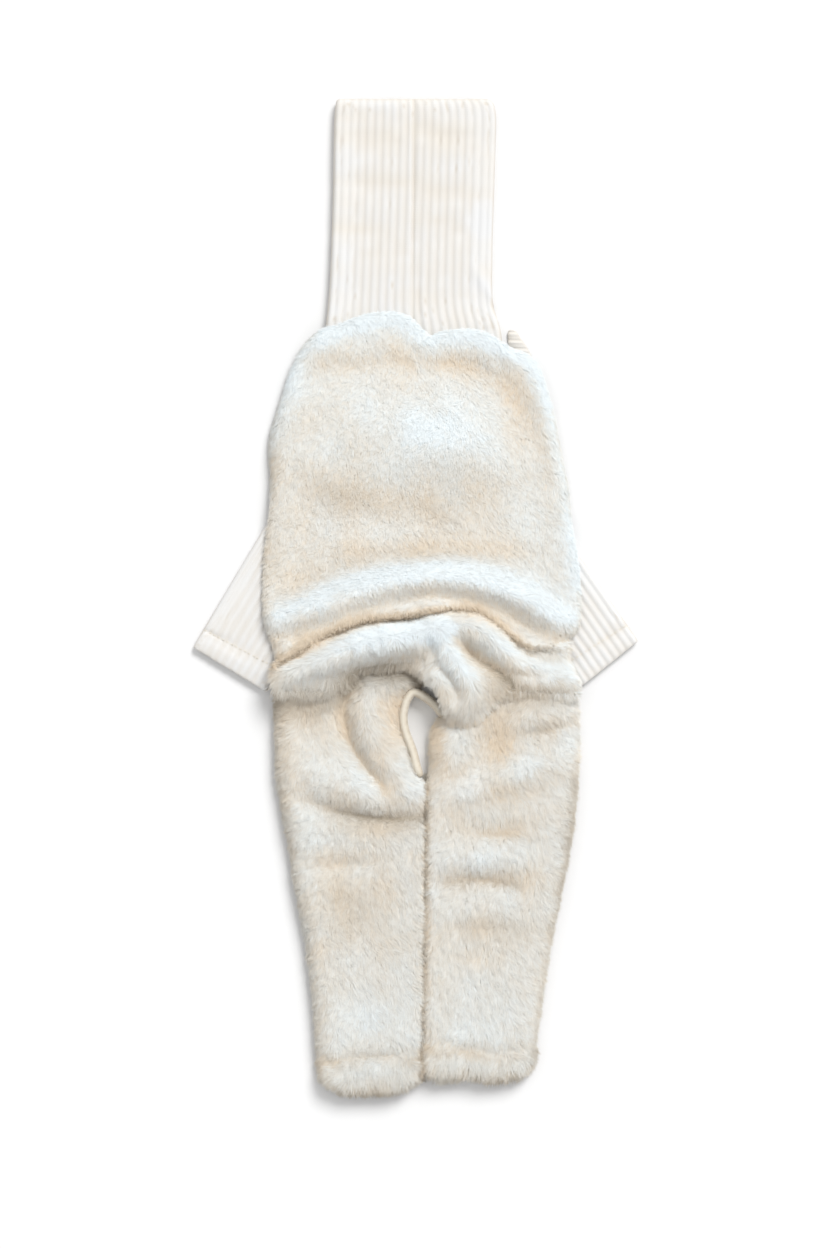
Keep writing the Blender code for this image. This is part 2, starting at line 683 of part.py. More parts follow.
def make_panel(name, top, bottom, columns, rows, collection):
    """A plush panel of the body, between its top and bottom line, that lies on what is under it."""
    x, y = panel_plan(BODY_LEFT, BODY_RIGHT, top, bottom, across_shares(columns), across_shares(rows))
    side = np.minimum(x - BODY_LEFT(y), BODY_RIGHT(y) - x)
    end = np.minimum(top(x) - y, y - bottom(x))
    edge = rounded(side, PLUSH_EDGE_RADIUS) * rounded(end, PLUSH_EDGE_RADIUS)
    ground = support(x, y)
    peak = body_surface(x, y)
    hollow = np.maximum(peak - PLUSH_WALL * steepness(body_surface, x, y), ground)
    rim_line = ground + RIM_HEIGHT
    upper = rim_line + (peak - rim_line) * edge
    inside = rounded(side - PLUSH_WALL, PLUSH_EDGE_RADIUS) * rounded(end - PLUSH_WALL, PLUSH_EDGE_RADIUS)
    foot = rounded(side, RIM_HEIGHT) * rounded(end, RIM_HEIGHT)
    lower = rim_line - RIM_HEIGHT * foot + (hollow - ground) * inside
    return sheet(name, PLUSH, x, y, upper, lower, collection)


def make_back(collection):
    """The plush back, from its scalloped top to the crease under its roll."""
    return make_panel("back_panel", SCALLOP_LINE, lambda x: WAIST_LINE(x) + SEAM_GAP / 2, 26, 24, collection)


def make_seat(collection):
    """The plush seat: the second roll, the lobe that droops from it and the right hip."""
    return make_panel("seat_panel", lambda x: WAIST_LINE(x) - SEAM_GAP / 2, SEAT_LINE, 40, 12, collection)


def flat_rows(sides, ys, columns):
    """Points of a flat piece whose rows run straight across the garment."""
    left, right = side_lines(sides)
    u, y = np.meshgrid(columns, ys)
    return left(y) + u * (right(y) - left(y)), y


def make_front(collection):
    """The rib front, flat on the surface under the back."""
    x, y = flat_rows(FRONT_SIDES, np.array(FRONT_ROWS), np.array(FRONT_SHARES))
    flat = np.full(x.shape, FRONT_THICKNESS)
    return sheet("front_panel", RIB, x, y, flat, flat * 0, collection)


def make_shoulder(name, sides, collection):
    """A rib shoulder beside the neck, its ribs running across it. The right one shows past the plush."""
    top = sides[0].y
    ribs = round((top - SHOULDER_END) / SHOULDER_PITCH)
    pitch = (top - SHOULDER_END) / ribs
    ys, rises = [top], [0.0]
    for k in range(ribs):
        ys += [top - (k + share) * pitch for share in (CREST_STARTS, CREST_ENDS, 1)]
        rises += [RIB_RISE, RIB_RISE, 0.0]
    x, y = flat_rows(sides, np.array(ys), np.array(SHOULDER_SHARES))
    flat = np.full(x.shape, FRONT_THICKNESS)
    return sheet(name, RIB, x, y, flat + np.array(rises)[:, None], flat * 0, collection)


def rib_ring(width, count, height, wall):
    """A flattened rib tube's section: outer and inner points as (across, up), and the inner ones' anchors."""
    pitch = width / count
    radius = height / 2
    across, rise, anchors = [], [], []
    for k in range(count):
        anchors.append(len(across))
        across += [k * pitch, (k + CREST_STARTS) * pitch, (k + CREST_ENDS) * pitch]
        rise += [0.0, RIB_RISE, RIB_RISE]
    anchors.append(len(across))
    across.append(width)
    rise.append(0.0)
    across, rise = np.array(across), np.array(rise)
    middle = (height - RIB_RISE) / 2
    edge = rounded(np.minimum(across, width - across), radius)
    top = np.column_stack([across, middle + (middle + rise) * edge])
    under_across = width * np.array(RIB_UNDER_SHARES)
    under_edge = rounded(np.minimum(under_across, width - under_across), radius)
    under = np.column_stack([under_across, middle * (1 - under_edge)])
    anchors += [len(top) + k for k in range(len(under))]
    outer = np.vstack([top, under])
    inner = outer[anchors]
    over = np.arange(len(inner)) <= count
    inner_across = wall + (inner[:, 0] / width) * (width - 2 * wall)
    slit = (height - RIB_RISE - 2 * wall) / 2
    inner_edge = rounded(np.minimum(inner_across - wall, width - wall - inner_across), wall)
    inner_up = np.where(over, middle + slit * inner_edge, middle - slit * inner_edge)
    return outer, np.column_stack([inner_across, inner_up]), anchors


def make_neck(collection):
    """The tall neck: a flattened tube of doubled rib, with a seam groove at its centre back."""
    outer_rings, inner_rings = [], []
    middle = (NECK_HEIGHT - PUCKER_DEPTH - RIB_RISE) / 2
    for y in NECK_ROWS:
        left, right = float(NECK_LEFT(y)), float(NECK_RIGHT(y))
        outer, inner, anchors = rib_ring(right - left, NECK_RIBS, NECK_HEIGHT - PUCKER_DEPTH, NECK_WALL)
        to_end = min(NECK_ROWS[0] - y, y - NECK_END)
        end = NECK_LIP + (1 - NECK_LIP) * float(rounded(to_end, NECK_HEIGHT / 2))
        on_top = outer[:, 1] > middle + RIB_RISE / 2
        centre = np.abs(outer[:, 0] + left) < (right - left) / NECK_RIBS / 2
        pucker = PUCKER_DEPTH * math.cos(2 * math.pi * y / PUCKER_LENGTH)
        lift = pucker * on_top - NECK_SEAM_DEPTH * (centre & on_top)
        up = middle + (outer[:, 1] - middle + lift) * end
        outer_rings.append(np.column_stack([outer[:, 0] + left, np.full(len(outer), y), up]))
        inner_rings.append(np.column_stack([inner[:, 0] + left, np.full(len(inner), y), inner[:, 1]]))
    return tube("neck_tube", RIB, outer_rings, inner_rings, anchors, collection)


def make_sleeve(sleeve, collection):
    """A rib sleeve whose upper end is cut along the armhole."""
    start, inner_corner = np.array(sleeve.outer_corner), np.array(sleeve.inner_corner)
    hem = inner_corner - start
    width = float(np.hypot(*hem))
    across, up = hem / width, np.array(sleeve.run)
    outer, inner, anchors = rib_ring(width, SLEEVE_RIBS, SLEEVE_HEIGHT, RIB_WALL)
    middle = (SLEEVE_HEIGHT - RIB_RISE) / 2
    outer_rings, inner_rings = [], []
    for share in SLEEVE_ROWS:
        for rings, section in ((outer_rings, outer), (inner_rings, inner)):
            base = start + section[:, :1] * across
            along = share * (sleeve.armhole - base[:, 0]) / up[0]
            height = section[:, 1]
            if rings is outer_rings:
                end = SLEEVE_LIP if share == SLEEVE_ROWS[0] else 1.0
                stitched = STITCH_DEPTH * np.exp(-(((along - SLEEVE_HEM) / STITCH_REACH) ** 2))
                height = middle + (height - middle) * end - stitched * (height > middle + RIB_RISE)
            rings.append(np.column_stack([base + along[:, None] * up, height]))
    return tube(sleeve.name, RIB, outer_rings, inner_rings, anchors, collection)


def make_leg(name, sides, hem, folds, collection):
    """A plush leg: a flattened tube with a turned hem, whose upper end runs in under the seat."""
    left, right = sides
    hem_line = smooth_line([point.x for point in hem], [point.y for point in hem])
    top, under = np.array(LEG_TOP_SHARES), np.array(LEG_UNDER_SHARES)
    shares = np.concatenate([top, under])
    is_top = np.arange(len(shares)) < len(top)
    anchors = list(range(0, len(top), 3)) + [len(top) + k for k in range(0, len(under), 2)]
    lowest = min(point.y for point in hem)
    low = LEG_MID_HEIGHT + LEG_SLIT / 4
    outer_rings, inner_rings = [], []
    for row in LEG_ROWS:
        along = (row - LEG_START) / (LEG_ROWS[-1] - LEG_START)
        y = LEG_START + along * (hem_line(shares) - LEG_START)
        x_left, x_right = left(y), right(y)
        x = x_left + shares * (x_right - x_left)
        side = np.minimum(x - x_left, x_right - x)
        edge = rounded(side, LEG_EDGE_RADIUS)
        to_end = min(along, 1 - along) * (LEG_START - lowest)
        end = LEG_LIP + (1 - LEG_LIP) * float(rounded(to_end, LEG_EDGE_RADIUS / 2))
        peak = leg_surface(folds, x, y)
        upper = LEG_MID_HEIGHT + (peak - LEG_MID_HEIGHT) * edge * end
        lower = LEG_MID_HEIGHT * (1 - edge)
        outer_rings.append(np.column_stack([x, y, np.where(is_top, upper, lower)]))
        x_in = x_left + PLUSH_WALL + shares * (x_right - x_left - 2 * PLUSH_WALL)
        side_in = np.minimum(x_in - x_left, x_right - x_in) - PLUSH_WALL
        high = np.clip(peak * end - PLUSH_WALL, low + LEG_SLIT, low + LEG_ROOM)
        upper_in = low + (high - low) * rounded(side_in, LEG_EDGE_RADIUS)
        inner = np.column_stack([x_in, y, np.where(is_top, upper_in, low + 0 * x)])
        inner_rings.append(inner[anchors])
    return tube(name, PLUSH, outer_rings, inner_rings, anchors, collection)


def make_binding(collection):
    """The knit tape folded over the edge of the crotch opening."""
    route = np.array(BINDING_ROUTE, float)
    run = np.concatenate([[0], np.cumsum(np.hypot(*np.diff(route, axis=0).T))])
    line_x, line_y = smooth_line(run, route[:, 0]), smooth_line(run, route[:, 1])
    angles = 2 * math.pi * (np.arange(BINDING_SIDES) + 0.5) / BINDING_SIDES
    out = np.sign(np.cos(angles)) * np.abs(np.cos(angles)) ** BINDING_SQUARENESS
    up = np.sign(np.sin(angles)) * np.abs(np.sin(angles)) ** BINDING_SQUARENESS
    bm = bmesh.new()
    rings = []
    for s in np.linspace(0, run[-1], BINDING_STATIONS):
        ahead_x = line_x(s + SLOPE_STEP) - line_x(s - SLOPE_STEP)
        ahead_y = line_y(s + SLOPE_STEP) - line_y(s - SLOPE_STEP)
        square = np.array([-ahead_y, ahead_x]) / np.hypot(ahead_x, ahead_y)
        end = BINDING_LIP + (1 - BINDING_LIP) * float(rounded(min(s, run[-1] - s), BINDING_WIDTH / 2))
        x = line_x(s) + BINDING_WIDTH / 2 * end * out * square[0]
        y = line_y(s) + BINDING_WIDTH / 2 * end * out * square[1]
        z = BINDING_HEIGHT / 2 * (1 + end * up)
        rings.append([bm.verts.new(tuple(point * MM)) for point in np.column_stack([x, y, z])])
    for first, second in zip(rings, rings[1:]):
        for k in range(BINDING_SIDES):
            n = (k + 1) % BINDING_SIDES
            bm.faces.new((first[k], first[n], second[n], second[k]))
    bm.faces.new(rings[0])
    bm.faces.new(rings[-1])
    return add_object("crotch_binding", TAPE, bm, collection)


def main():
    for old in list(bpy.data.objects):
        bpy.data.objects.remove(old, do_unlink=True)
    collection = bpy.data.collections.new(COLLECTION_NAME)
    bpy.context.scene.collection.children.link(collection)
    make_front(collection)
    make_shoulder("shoulder_left", LEFT_SHOULDER_SIDES, collection)
    make_shoulder("shoulder_right", RIGHT_SHOULDER_SIDES, collection)
    make_neck(collection)
    make_sleeve(LEFT_SLEEVE, collection)
    make_sleeve(RIGHT_SLEEVE, collection)
    make_leg("leg_left", LEFT_LEG, LEFT_HEM, LEFT_LEG_FOLDS, collection)
    make_leg("leg_right", RIGHT_LEG, RIGHT_HEM, RIGHT_LEG_FOLDS, collection)
    make_binding(collection)
    make_back(collection)
    make_seat(collection)


main()
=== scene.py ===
"""Dresses the plush romper: its shells of rib knit and plush, the pile, the binding, floor, light and camera.

The romper lies flat with its back up, its neck towards +Y. Everything is in metres, in the solids' own frame.
"""

import logging
import math
from collections.abc import Callable, Iterable
from dataclasses import dataclass
from enum import Enum

import bmesh
import bpy
import numpy as np
from mathutils import Matrix, Vector
from mathutils.bvhtree import BVHTree


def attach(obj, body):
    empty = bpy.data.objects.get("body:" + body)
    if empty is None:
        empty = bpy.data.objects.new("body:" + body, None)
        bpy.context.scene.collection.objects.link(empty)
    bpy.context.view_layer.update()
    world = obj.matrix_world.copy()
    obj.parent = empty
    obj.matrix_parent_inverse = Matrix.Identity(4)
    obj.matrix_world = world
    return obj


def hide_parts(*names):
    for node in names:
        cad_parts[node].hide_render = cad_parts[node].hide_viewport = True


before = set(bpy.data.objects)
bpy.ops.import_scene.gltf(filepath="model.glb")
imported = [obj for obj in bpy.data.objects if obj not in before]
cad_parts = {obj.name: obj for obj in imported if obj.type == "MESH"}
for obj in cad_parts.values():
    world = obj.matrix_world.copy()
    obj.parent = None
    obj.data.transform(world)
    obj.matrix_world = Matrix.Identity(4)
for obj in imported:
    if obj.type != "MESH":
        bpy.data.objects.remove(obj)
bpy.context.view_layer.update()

LOG = logging.getLogger("romper")
MM = 0.001
BODY = "root"
PHOTO_WIDTH, PHOTO_HEIGHT = 832, 1248
PIXEL = 0.62 * MM  # one pixel of the photograph on the floor
ORIGIN_PIXEL = (415.5, 599.5)  # where the solids' origin is in the photograph
MERGE = 1e-6  # points closer than this are one point
STEEP = 0.15  # a face whose normal rises or falls less than this faces sideways
END_CAP = 0.7  # a face that looks along the garment more than this closes a tube's end
RAY_START = 1e-4  # how far off its face a ray starts
QUAD_BEND, QUAD_SKEW = math.radians(60), math.radians(80)  # the most in two triangles joined to a quad
STITCH_PITCH, STITCH_LENGTH, STITCH_WIDTH = 3.0 * MM, 2.3 * MM, 0.5 * MM
STITCH_LIFT = 0.1 * MM  # how far a stitch's middle is over the cloth
OVERHEAD, DOWN = Vector((0, 0, 0.1)), Vector((0, 0, -1))  # how stitches find the cloth from above
FUZZ_SCALE, FUZZ_DETAIL = 900.0, 3.0  # the noise of loose fibres on a knit
FINER, FINER_DETAIL = 5.0, 4.0  # how much finer the small drift of a tone is than the wide one
WIDE_SHARE, FINE_SHARE = 0.7, 0.3  # and how much of each there is
DRIFT_LOW, DRIFT_HIGH = 0.35, 0.65  # what of their sum is spread from 0 to 1
UNDERSIDE = -0.35  # a sheet's faces whose normals point down further than this are its underside


class Slot(Enum):
    """The record's material slots."""

    PLUSH = "plush"
    RIB = "rib_knit"
    TAPE = "binding_tape"


class Wall(Enum):
    """How a solid's wall is built, which says what of it is its outer face."""

    SHEET = "sheet"
    TUBE = "tube"


# ---------------------------------------------------------------------------------------------------------
# Shader groups and finishes
# ---------------------------------------------------------------------------------------------------------


class Nodes:
    """Short calls for laying out one node tree."""

    def __init__(self, tree: bpy.types.NodeTree) -> None:
        """Keeps the tree that is laid out."""
        self.tree = tree

    def add(self, kind: str, **settings: object) -> bpy.types.Node:
        """Adds a node and gives it its settings.

        Args:
            kind: The node's type name, after ShaderNode.
            settings: Its properties.

        Returns:
            The new node.
        """
        node = self.tree.nodes.new(f"ShaderNode{kind}")
        for name, value in settings.items():
            setattr(node, name, value)
        return node

    def link(self, start: bpy.types.NodeSocket, end: bpy.types.NodeSocket) -> None:
        """Joins two sockets."""
        self.tree.links.new(start, end)

    def feed(self, sockets: Iterable, values: Iterable) -> None:
        """Puts each value into its socket.

        Args:
            sockets: The sockets.
            values: For each one a number, a colour or another node's socket.
        """
        for socket, value in zip(sockets, values):
            if isinstance(value, bpy.types.NodeSocket):
                self.link(value, socket)
            else:
                socket.default_value = value

    def maths(self, operation: str, *values: object, clamp: bool = False) -> bpy.types.NodeSocket:
        """A Math node on sockets or numbers.

        Args:
            operation: The Math node's operation.
            values: Sockets or plain numbers, in the node's order.
            clamp: Whether the result is kept from 0 to 1.

        Returns:
            The node's output.
        """
        node = self.add("Math", operation=operation, use_clamp=clamp)
        self.feed(node.inputs, values)
        return node.outputs[0]

    def blend(self, share: object, low: object, high: object) -> bpy.types.NodeSocket:
        """Mixes two colours.

        Args:
            share: How much of the second colour there is, as a socket or a number.
            low: The first colour, as a socket or four numbers.
            high: The second colour.

        Returns:
            The mixed colour.
        """
        node = self.add("Mix", data_type="RGBA")
        self.feed((node.inputs[0], node.inputs[6], node.inputs[7]), (share, low, high))
        return node.outputs[2]

    def noise(self, place: bpy.types.NodeSocket, scale: object, detail: float = 2.0) -> bpy.types.Node:
        """A Noise Texture node.

        Args:
            place: Where it is read.
            scale: How fine it is, as a socket or a number.
            detail: How many finer sizes it adds.

        Returns:
            The node.
        """
        node = self.add("TexNoise")
        self.feed([node.inputs[name] for name in ("Vector", "Scale", "Detail")], (place, scale, detail))
        return node

    def raise_surface(self, shader: bpy.types.Node, height: bpy.types.NodeSocket, strength: float,
                      distance: float) -> None:
        """Raises a shader's surface by a Bump node.

        Args:
            shader: The shader.
            height: The height's socket.
            strength: How much of it counts.
            distance: How far a height of 1 stands out.
        """
        bump = self.add("Bump")
        self.feed([bump.inputs[name] for name in ("Height", "Strength", "Distance")],
                  (height, strength, distance))
        self.link(bump.outputs[0], shader.inputs["Normal"])


def new_group(name: str, inputs: dict[str, float], outputs: dict[str, str]
              ) -> tuple[bpy.types.NodeTree, Nodes, bpy.types.Node, bpy.types.Node]:
    """Starts a shader node group.

    Args:
        name: The group's name.
        inputs: Each number input and its value.
        outputs: Each output and its socket type.

    Returns:
        The group's tree, its layout helper, its inputs and its outputs.
    """
    tree = bpy.data.node_groups.new(name, "ShaderNodeTree")
    for label, value in inputs.items():
        socket = tree.interface.new_socket(label, in_out="INPUT", socket_type="NodeSocketFloat")
        socket.default_value = value
    for label, kind in outputs.items():
        tree.interface.new_socket(label, in_out="OUTPUT", socket_type=kind)
    nodes = Nodes(tree)
    given = tree.nodes.new("NodeGroupInput")
    result = tree.nodes.new("NodeGroupOutput")
    return tree, nodes, given, result


def knit_group() -> bpy.types.NodeTree:
    """Fine knit loops, as rows of small V shapes.

    Returns:
        A group with the loops' height and a mask of the gaps between them.
    """
    outputs = {"Height": "NodeSocketFloat", "Gap": "NodeSocketFloat"}
    tree, nodes, given, result = new_group("knit_loops", {"Pitch": 1.0, "Fuzz": 0.5}, outputs)
    place = nodes.add("TexCoord").outputs["Object"]
    parts = nodes.add("SeparateXYZ")
    nodes.link(place, parts.inputs[0])
    across = nodes.maths("DIVIDE", parts.outputs[0], given.outputs["Pitch"])
    along = nodes.maths("DIVIDE", parts.outputs[1], given.outputs["Pitch"])
    wale = nodes.maths("PINGPONG", across, 0.5)
    slanted = nodes.maths("ADD", along, wale)
    course = nodes.maths("PINGPONG", slanted, 0.5)
    loops = nodes.maths("MULTIPLY", nodes.maths("ADD", wale, 0.5), nodes.maths("MULTIPLY", course, 2.0))
    loose = nodes.noise(place, FUZZ_SCALE, FUZZ_DETAIL)
    fuzz = nodes.maths("MULTIPLY", loose.outputs[0], given.outputs["Fuzz"])
    nodes.link(nodes.maths("ADD", loops, fuzz), result.inputs["Height"])
    nodes.link(nodes.maths("SUBTRACT", 1.0, loops, clamp=True), result.inputs["Gap"])
    return tree


def drift_group() -> bpy.types.NodeTree:
    """Slow, uneven drift of a cloth's tone, at two sizes.

    Returns:
        A group with one value from 0 to 1.
    """
    tree, nodes, given, result = new_group("tone_drift", {"Size": 0.03}, {"Value": "NodeSocketFloat"})
    place = nodes.add("TexCoord").outputs["Object"]
    scale = nodes.maths("DIVIDE", 1.0, given.outputs["Size"])
    wide = nodes.noise(place, scale)
    fine = nodes.noise(place, nodes.maths("MULTIPLY", scale, FINER), FINER_DETAIL)
    both = nodes.maths("ADD", nodes.maths("MULTIPLY", wide.outputs[0], WIDE_SHARE),
                       nodes.maths("MULTIPLY", fine.outputs[0], FINE_SHARE))
    spread = nodes.add("MapRange")
    spread.inputs["From Min"].default_value = DRIFT_LOW
    spread.inputs["From Max"].default_value = DRIFT_HIGH
    nodes.link(both, spread.inputs["Value"])
    nodes.link(spread.outputs[0], result.inputs["Value"])
    return tree


def start_finish(name: str, roughness: float, sheen: float, sheen_roughness: float
                 ) -> tuple[bpy.types.Material, Nodes, bpy.types.Node]:
    """Starts a cloth's material.

    Args:
        name: The material's name.
        roughness: How matt it is.
        sheen: How much its fuzz catches the light.
        sheen_roughness: How wide that shine is.

    Returns:
        The material, its layout helper and its Principled BSDF.
    """
    material = bpy.data.materials.new(name)
    material.use_nodes = True
    shader = material.node_tree.nodes["Principled BSDF"]
    shader.inputs["Roughness"].default_value = roughness
    shader.inputs["Sheen Weight"].default_value = sheen
    shader.inputs["Sheen Roughness"].default_value = sheen_roughness
    return material, Nodes(material.node_tree), shader


@dataclass(frozen=True)
class Knit:
    """A knitted cloth's finish.

    Its warm and cool tones drift into each other, and painted shade deepens it towards its deep tone in its
    grooves, creases and the gaps between its loops.
    """

    name: str
    cool: tuple
    warm: tuple
    # deep: the tone of painted shade, for grooves, creases and the gaps between loops, and a little all over
    deep: tuple
    pitch: float = 1.1 * MM
    relief: float = 0.12 * MM
    relief_strength: float = 0.6
    fuzz: float = 0.6
    drift: float = 0.03
    mottle: float = 0.5
    # gaps: how much painted shade darkens the gaps between the knit's loops
    gaps: float = 0.25
    roughness: float = 0.92
    sheen: float = 0.25
    sheen_roughness: float = 0.6

    def build(self, groups: dict[str, bpy.types.NodeTree]) -> bpy.types.Material:
        """Makes the material.

        Args:
            groups: The shared node groups by name.

        Returns:
            The material.
        """
        material, nodes, shader = start_finish(self.name, self.roughness, self.sheen, self.sheen_roughness)
        drift = nodes.add("Group", node_tree=groups["drift"])
        drift.inputs["Size"].default_value = self.drift
        knit = nodes.add("Group", node_tree=groups["knit"])
        knit.inputs["Pitch"].default_value = self.pitch
        knit.inputs["Fuzz"].default_value = self.fuzz
        warmth = nodes.add("Attribute", attribute_name="warmth")
        mottle = nodes.maths("MULTIPLY", nodes.maths("SUBTRACT", drift.outputs["Value"], 0.5), self.mottle)
        warm_share = nodes.maths("ADD", warmth.outputs["Fac"], mottle, clamp=True)
        tone = nodes.blend(warm_share, self.cool, self.warm)
        # painted shade: the low attribute blends the tone towards the deep one in grooves and creases, and so
        # do the loop gaps
        low = nodes.add("Attribute", attribute_name="low")
        tone = nodes.blend(low.outputs["Fac"], tone, self.deep)
        gap = nodes.maths("MULTIPLY", knit.outputs["Gap"], self.gaps)
        nodes.link(nodes.blend(gap, tone, self.deep), shader.inputs["Base Color"])
        nodes.raise_surface(shader, knit.outputs["Height"], self.relief_strength, self.relief)
        return material


@dataclass(frozen=True)
class Fibre:
    """The pile's finish: painted highlight bluish white on ridges, painted shade peach in dips, deep at
    roots.
    """

    name: str
    cool: tuple
    plain: tuple
    warm: tuple
    root: tuple
    # painted shade: how much of the deep root tone a lock has at its root
    root_shade: float = 0.15  # how much of the root's tone a lock has at its root
    grain: float = 0.0
    grain_strength: float = 0.7
    grain_detail: float = 3.0
    grain_width: float = 0.9 * MM
    grain_length: float = 4.0 * MM
    wander_size: float = 20 * MM
    wander_reach: float = 12 * MM
    roughness: float = 0.85
    sheen: float = 0.3
    sheen_roughness: float = 0.5
    thin: bool = False

    def pass_light(self, nodes: Nodes, shader: bpy.types.Node, colour: bpy.types.NodeSocket,
                   output: bpy.types.Node) -> None:
        """Lets a lock seen from behind show the light that falls on its front.

        Args:
            nodes: The material's layout helper.
            shader: Its Principled BSDF.
            colour: The pile's tone.
            output: The material's output node.
        """
        behind = nodes.add("BsdfTranslucent")
        either = nodes.add("MixShader")
        nodes.link(colour, behind.inputs["Color"])
        nodes.link(nodes.add("NewGeometry").outputs["Backfacing"], either.inputs[0])
        nodes.link(shader.outputs[0], either.inputs[1])
        nodes.link(behind.outputs[0], either.inputs[2])
        nodes.link(either.outputs[0], output.inputs["Surface"])

    def build_grain(self, nodes: Nodes, shader: bpy.types.Node) -> None:
        """Combs fine wavy lines down the garment into the finish.

        Args:
            nodes: The material's layout helper.
            shader: Its Principled BSDF.
        """
        place = nodes.add("TexCoord").outputs["Object"]
        wander = nodes.noise(place, 1 / self.wander_size)
        shift = nodes.add("VectorMath", operation="SCALE")
        shift.inputs["Scale"].default_value = self.wander_reach
        nodes.link(wander.outputs["Color"], shift.inputs[0])
        wavy = nodes.add("VectorMath", operation="ADD")
        nodes.link(place, wavy.inputs[0])
        nodes.link(shift.outputs[0], wavy.inputs[1])
        combed = nodes.add("Mapping")
        sizes = (self.grain_width, self.grain_length, self.grain_width)
        combed.inputs["Scale"].default_value = [1 / size for size in sizes]
        nodes.link(wavy.outputs[0], combed.inputs["Vector"])
        strands = nodes.noise(combed.outputs[0], 1.0, self.grain_detail)
        nodes.raise_surface(shader, strands.outputs[0], self.grain_strength, self.grain)

    def build(self) -> bpy.types.Material:
        """Makes the material from the pile's own attributes.

        Returns:
            The material.
        """
        material, nodes, shader = start_finish(self.name, self.roughness, self.sheen, self.sheen_roughness)
        warmth, along, shade = (nodes.add("Attribute", attribute_name=name).outputs["Fac"]
                                for name in ("warmth", "along", "shade"))
        # warmth paints cool highlight and warm shade; along and shade paint deeper shade at the roots and in
        # dips
        cool_share = nodes.maths("SUBTRACT", 1.0, nodes.maths("MULTIPLY", warmth, 2.0), clamp=True)
        warm_share = nodes.maths("SUBTRACT", nodes.maths("MULTIPLY", warmth, 2.0), 1.0, clamp=True)
        tone = nodes.blend(cool_share, self.plain, self.cool)
        tone = nodes.blend(warm_share, tone, self.warm)
        root_shade = nodes.maths("MULTIPLY", nodes.maths("SUBTRACT", 1.0, along, clamp=True), self.root_shade)
        tone = nodes.blend(root_shade, tone, self.root)
        tone = nodes.blend(shade, tone, self.root)
        nodes.link(tone, shader.inputs["Base Color"])
        if self.grain:
            self.build_grain(nodes, shader)
        if self.thin:
            self.pass_light(nodes, shader, tone, material.node_tree.nodes["Material Output"])
        return material


# each knit: its cool and warm tones, then the deep tone of painted shade
RIB_FINISH = Knit("rib_knit", (0.73, 0.74, 0.75, 1), (0.735, 0.70, 0.64, 1), (0.61, 0.565, 0.50, 1),
                  mottle=0.35)
TAPE_FINISH = Knit("binding_tape", (0.72, 0.68, 0.59, 1), (0.69, 0.63, 0.52, 1), (0.56, 0.49, 0.39, 1),
                   pitch=0.9 * MM, relief=0.2 * MM)
# the pile's tones: cool painted highlight, its own plain tone, warm painted shade, and the deep tone of
# painted shade
FIBRE_TONES = ((0.78, 0.835, 0.86, 1), (0.76, 0.745, 0.70, 1), (0.775, 0.67, 0.535, 1), (0.38, 0.33, 0.26, 1))
FIBRE_FINISH = Fibre("plush_pile", *FIBRE_TONES, thin=True)
UNDERFUR_FINISH = Fibre("plush_underfur", *FIBRE_TONES, grain=0.5 * MM)


# ---------------------------------------------------------------------------------------------------------
# Shared mesh work
# ---------------------------------------------------------------------------------------------------------


def outer_direction(normal: Vector) -> Vector:
    """The way out from a face: up, down, or straight sideways from a steep one.

    Args:
        normal: The face's normal.

    Returns:
        The way out, of length 1.
    """
    if abs(normal.z) > STEEP:
        return Vector((0, 0, math.copysign(1, normal.z)))
    return Vector((normal.x, normal.y, 0)).normalized()


def merged_copy(node: str) -> bmesh.types.BMesh:
    """A copy of a solid's mesh.

    Args:
        node: The solid's name.

    Returns:
        A new bmesh, with its doubles merged.
    """
    bm = bmesh.new()
    bm.from_mesh(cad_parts[node].data)
    bmesh.ops.remove_doubles(bm, verts=bm.verts[:], dist=MERGE)
    return bm


def join_to_quads(bm: bmesh.types.BMesh) -> None:
    """Joins a mesh's triangles to quads."""
    bmesh.ops.join_triangles(bm, faces=bm.faces[:], angle_face_threshold=QUAD_BEND,
                             angle_shape_threshold=QUAD_SKEW)


def outer_skin(node: str, wall: Wall) -> bmesh.types.BMesh:
    """A copy of the part of a solid's surface that its cloth shows.

    Args:
        node: The solid's name.
        wall: How it is built. Of a sheet all but its underside is taken, and of a tube its outside.

    Returns:
        A new bmesh with its doubles merged and its triangles joined to quads.
    """
    bm = merged_copy(node)
    bm.normal_update()
    hidden = []
    tree = BVHTree.FromBMesh(bm)
    for face in bm.faces:
        if wall is Wall.SHEET:
            seen = face.normal.z > UNDERSIDE
        else:
            way = outer_direction(face.normal)
            is_cap = abs(way.y) > END_CAP
            centre = face.calc_center_median()
            seen = not is_cap and tree.ray_cast(centre + way * RAY_START, way)[0] is None
        if not seen:
            hidden.append(face)
    bmesh.ops.delete(bm, geom=hidden, context="FACES")
    join_to_quads(bm)
    bm.normal_update()
    return bm


def new_object(name: str, mesh: bpy.types.Mesh, material: bpy.types.Material) -> bpy.types.Object:
    """Links a mesh into the scene.

    Args:
        name: The piece's name.
        mesh: Its mesh, in place.
        material: Its finish.

    Returns:
        The object, at the origin.
    """
    mesh.name = name
    mesh.materials.clear()
    mesh.materials.append(material)
    mesh.shade_smooth()
    obj = bpy.data.objects.new(name, mesh)
    bpy.context.scene.collection.objects.link(obj)
    return obj


def object_of(bm: bmesh.types.BMesh, name: str, material: bpy.types.Material) -> bpy.types.Object:
    """Turns a bmesh into an object at the origin, and frees it.

    Args:
        bm: The bmesh.
        name: The object's name.
        material: Its finish.

    Returns:
        The object.
    """
    mesh = bpy.data.meshes.new(name)
    bm.to_mesh(mesh)
    bm.free()
    return new_object(name, mesh, material)


